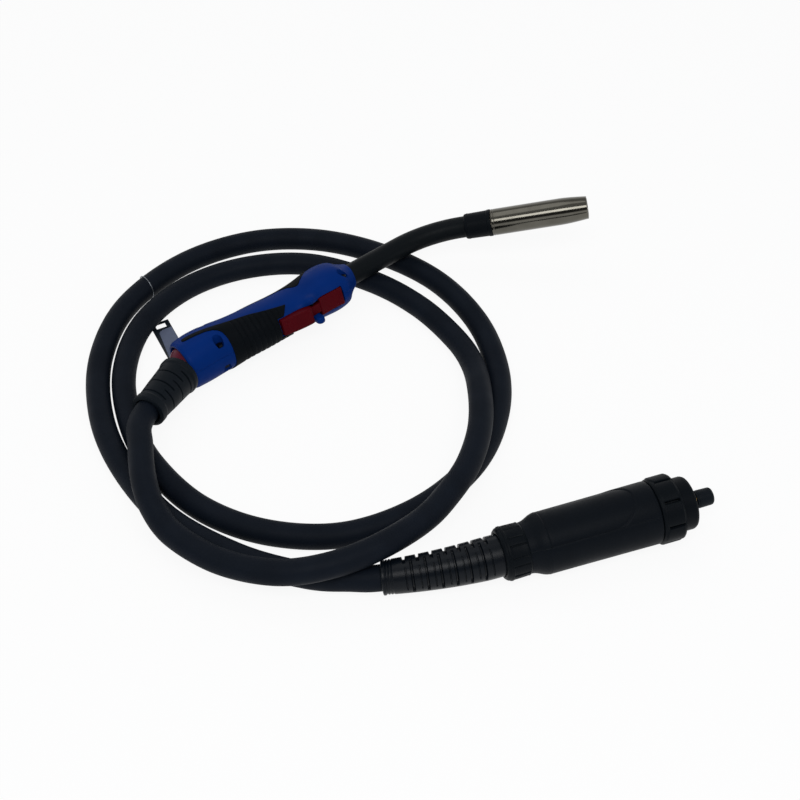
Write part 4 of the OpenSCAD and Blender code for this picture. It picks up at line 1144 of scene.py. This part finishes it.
def flutes(x, r, a):
    """Radius of the gland nut: eight times round, two grooves and a slightly lower strip in
    the surface between its two collars."""
    turn_by = (np.degrees(a) - FLUTE_START) % FLUTE_TURN
    off = np.minimum(np.minimum(turn_by, FLUTE_TURN - turn_by), np.abs(turn_by - 18.2))
    groove = 0.9 * (1 - smooth_step(off, 0.8, 2.2))
    low = 0.3 * window(turn_by, 18, 20, FLUTE_TURN - 2, FLUTE_TURN)
    on = window(x, 4.6, 5.4, 17.2, 17.8) * (r > 18.8)
    return r - on * (groove + low)


class TORCH_OT_plug(bpy.types.Operator):
    """The gland nut, the two halves of the plug's housing and the stem's cap"""

    bl_idname = "torch.plug"
    bl_label = "Plug housing"

    def execute(self, context):
        nut = turned(PLUG, [
            (0, 16.4, 0.3), (0, 18.4, 0.5), (1.6, 19.9, 0.8), (2.9, 20.0, 0.4), (3.2, 20.6, 0.3),
            (4.6, 20.8, 0.3), (5.0, 20.7), (5.4, 20.7), (8, 20.7), (12, 20.6), (17.2, 20.4),
            (17.8, 20.3), (18.5, 19.8, 0.4), (19, 19.5), (19, 15.1),
            (7.5, 15.1), (7.5, 10.5), (6.4, 10.5), (6.4, 17.2), (1, 17.2)],
            sides=240, field=flutes)
        piece("fluted_nut", [nut], "cable", "black_plastic", ["gland_nut"])
        for name, start in (("upper", 43), ("lower", 223)):
            piece(f"plug_shell_{name}", [half_housing(start)], "cable", "housing_plastic",
                  [f"housing_{name}"])
        cap = turned(PLUG, [
            (170.5, 0), (170.5, 5.6, 0.8), (169.2, 6.75, 1.0), (160, 6.95), (158.6, 6.95, 0.2),
            (158.3, 6.7), (157.9, 6.7), (157.6, 6.95, 0.2), (156.8, 6.9, 0.3), (156.6, 6.3, 0.2),
            (156.6, 4.65), (166.6, 4.65), (166.6, 0)], sides=72, closed=False)
        piece("cap", [cap], "cap", "boot_rubber", ["stem_cap"])
        return {"FINISHED"}


# The housing's outer radius by x
HOUSING = np.array([
    [19.08, 19.3], [19.3, 19.45], [21, 19.6], [23, 20.05], [25, 20.8], [27, 21.75], [29, 22.65],
    [31, 23.3], [33, 23.62], [33.5, 23.86], [60, 24.0], [100, 24.3], [119.4, 24.45],
    [120.6, 24.2], [121.2, 23.3]])
PANEL_X0, PANEL_X1, PANEL_HALF, PANEL_DEPTH = 33.6, 86.2, 19.2, 0.62
PANEL_MIDDLE, PANEL_R = 97, 23.4


def half_housing(start):
    """Closed half of the plug's housing over 180 degrees from a parting edge: an outer arc
    that follows the table, an inner arc, and a sunk panel with a round end above the edge."""
    x = np.unique(np.round(np.concatenate([
        [19.08], np.linspace(19.3, 33, 24), np.linspace(33, 34.6, 8), np.linspace(34.6, 84, 22),
        np.linspace(84, 107, 54), np.linspace(107, 119.4, 8), np.linspace(119.4, 121.2, 6)]), 3))
    a = start + joined(
        [0, 0.5, 1.0, 1.5], np.linspace(2, 178, 150), [178.5, 179, 179.5, 180])
    outer = np.repeat(np.interp(x, *HOUSING.T)[:, None], len(a), 1)
    edge = np.minimum(a - start, start + 180 - a)
    outer -= 0.3 * np.clip(1 - edge / 1.4, 0, 1)[None]
    if start < 180:
        w = PANEL_R * np.sin(np.radians(np.clip(a - PANEL_MIDDLE, -90, 90)))[None]
        ahead = np.maximum(x - PANEL_X1, 0)[:, None]
        inside = np.minimum(PANEL_HALF - np.hypot(ahead, w), x[:, None] - PANEL_X0)
        outer -= PANEL_DEPTH * smooth_step(inside, 0, 0.8)
        outer -= 0.3 * window(inside, -0.5, 0.1, 0.5, 1.3)
    else:
        outer -= 0.18 * smooth_step(x[:, None], 33, 34) * smooth_step(edge, 0.5, 3)[None]
    bore = np.interp(x, [19.08, 114, 114.3, 121.2], [15.2, 16.1, 14.3, 14.3])
    inner = np.repeat(bore[:, None], len(a), 1)
    around = np.radians(a)
    body = np.concatenate([
        about_x(x[:, None], outer, around), about_x(x[:, None], inner, around)[:, ::-1]], 1)
    middle = about_x(x[:, None], (outer + inner) / 2, around)
    first, last = (np.concatenate([m, m[:, ::-1]], 1) for m in (middle[:1], middle[-1:]))
    return grid(PLUG.out(np.concatenate([first, body, last])))


def lobes(x, r, a):
    """Radius of the collar nut: eight crowned lobes that rise from a low cone, with rounded
    ends and a narrow slot between neighbours; its other surfaces stay as they are."""
    part = ((np.degrees(a) - LOBE_START) / LOBE_TURN) % 1
    wide = np.abs(part - 0.5) * 2
    across_slot = np.minimum(part, 1 - part) * LOBE_TURN * 0.44
    low = np.minimum(24.5 + (x - COLLAR_X0) * 0.35, 25.1)
    start = COLLAR_X0 + 0.5 + 4.0 * wide**3
    stop = COLLAR_X1 - 0.9 - 1.2 * wide**4
    on = window(x, start, start + 1.6, stop - 1.7, stop)
    top = low + (LOBE_R - 0.8 * wide**2 - low) * on
    slot = (1 - smooth_step(across_slot, 0.6, 1.15)) * window(
        x, COLLAR_X0 + 3.2, COLLAR_X0 + 4.0, COLLAR_X1 - 3.0, COLLAR_X1 - 2.2)
    return np.where(r > 25.5, top - 2.8 * slot, r)


class TORCH_OT_collar(bpy.types.Operator):
    """The lobed collar nut with its smooth skirt"""

    bl_idname = "torch.collar"
    bl_label = "Collar nut"

    def execute(self, context):
        body = [(x, LOBE_R) for x in np.arange(COLLAR_X0 + 0.5, COLLAR_X1 - 0.6, 0.45)]
        nut = turned(PLUG, [
            (COLLAR_X0, 14.1), (COLLAR_X0, 24.0)] + body + [
            (COLLAR_X1 - 0.4, 24.2), (COLLAR_X1, 22.6, 0.4), (COLLAR_X1, 20.5, 0.3),
            (SKIRT_X1 - 2.2, 20.5, 0.8), (SKIRT_X1 - 0.5, 19.6, 0.5), (SKIRT_X1, 18.7, 0.3),
            (SKIRT_X1, 17.5), (130, 17.5), (130, 14.1)], sides=320, field=lobes)
        piece("collar", [nut], "collar", "black_plastic", ["collar_nut"])
        return {"FINISHED"}


# ---- Tag and tie ----

TAG = Place([-185.6, 17.9, 0], turn("z", 27))
TIE = Place([-201, 57, 10.6], turn("z", 54))
STRAP, SLOT = (-8.5, 8.5, -44.3, 5.7), (-4.5, 4.5, -2.4, 2.8)
CARD = np.array([
    (-2.2, -6.6), (-3.6, -7.4), (-4.4, -9), (-7.4, -44.3), (8.1, -44.3), (8.1, -5.2),
    (0, -5.8)])


def box_ray(t, x0, x1, y0, y1):
    """Where rays at the angles t from the origin meet the sides of a rectangle round it."""
    c, s = np.cos(t), np.sin(t)
    with np.errstate(divide="ignore"):
        far = np.minimum(
            np.where(np.abs(c) < 1e-9, 1e9, np.where(c > 0, x1, x0) / c),
            np.where(np.abs(s) < 1e-9, 1e9, np.where(s > 0, y1, y0) / s))
    return np.stack([far * c, far * s], -1)


class TORCH_OT_tag(bpy.types.Operator):
    """The strap tag under the inner lap with its bare card, and the wire round the laps"""

    bl_idname = "torch.tag"
    bl_label = "Tag and tie"

    def execute(self, context):
        t = joined(np.linspace(-math.pi, math.pi, 96, endpoint=False), *(
            [math.atan2(y, x) for x in box[:2] for y in box[2:]] for box in (STRAP, SLOT)))
        outline, hole = box_ray(t, *STRAP), box_ray(t, *SLOT)
        top = 0.45
        strap = stacked(TAG.inner([0, -0.7, 0], np.eye(3)), [
            (hole, 0), (outline, 0), (outline, top), (hole, top), (hole, 0)])
        tag = piece("tag_strap", [strap], "cable", "strap_plastic", ["hang_tag"])
        bevelled(tag, 0.12, 2, 60)
        mid = CARD.mean(0)
        point = CARD * 0 + mid
        card = stacked(TAG, [(point, 0.4), (CARD, 0.4), (CARD, 0.58),
                             (mid + (CARD - mid) * 0.97, 0.62), (point, 0.62)])
        piece("tag_card", [card], "cable", "card_stock")

        t = np.linspace(math.radians(-236), math.radians(236), 130)
        reach = 10.2 + 0.12 * np.cos(t) + 0.35 * smooth_step(np.abs(t), 3.3, 4.1)
        loop = np.stack([
            5.0 * t / 4.1 + 1.0 * np.sin(t), reach * np.sin(t), reach * np.cos(t)], -1)
        wire = swept(TIE.out(loop), 0.46 * MM, 10, (0.3, 0.5, 0.81))
        piece("tie_wire", [wire], "cable", "tie_steel", ["coil_tie"])
        return {"FINISHED"}


# ---- Finishes of the carried-over solids ----


class TORCH_OT_finishes(bpy.types.Operator):
    """Materials of the solids that keep their own shape"""

    bl_idname = "torch.finishes"
    bl_label = "Finishes"

    def execute(self, context):
        for look, names in CAD_LOOKS.items():
            for name in names.split():
                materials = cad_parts[name].data.materials
                materials.clear()
                materials.append(finish(look))
        return {"FINISHED"}


class TORCH_PT_panel(bpy.types.Panel):
    """Lists the torch's sizes, colours and light, and its builders"""

    bl_label = "Welding torch"
    bl_space_type = "VIEW_3D"
    bl_region_type = "UI"
    bl_category = "Torch"

    def draw(self, context):
        column = self.layout.column()
        for name, settings in SETTINGS.items():
            for key in settings.__annotations__:
                column.prop(getattr(context.scene, name), key)
        for operator in OPERATORS:
            column.operator(operator.bl_idname)


OPERATORS = (
    TORCH_OT_stage, TORCH_OT_cable, TORCH_OT_shells, TORCH_OT_grips, TORCH_OT_trigger,
    TORCH_OT_swivel, TORCH_OT_neck, TORCH_OT_nozzle, TORCH_OT_cable_boot, TORCH_OT_plug,
    TORCH_OT_collar, TORCH_OT_tag, TORCH_OT_finishes)
SETTINGS = {
    "torch_sizes": TorchSizes, "torch_colours": TorchColours, "torch_light": TorchLight}
CLASSES = (*SETTINGS.values(), *OPERATORS, TORCH_PT_panel)


def register():
    for cls in CLASSES:
        bpy.utils.register_class(cls)
    for name, settings in SETTINGS.items():
        setattr(bpy.types.Scene, name, PointerProperty(type=settings))


def unregister():
    for name in SETTINGS:
        delattr(bpy.types.Scene, name)
    for cls in reversed(CLASSES):
        bpy.utils.unregister_class(cls)


def main():
    register()
    for operator in OPERATORS:
        family, name = operator.bl_idname.split(".")
        getattr(getattr(bpy.ops, family), name)()


if __name__ == "__main__":
    main()
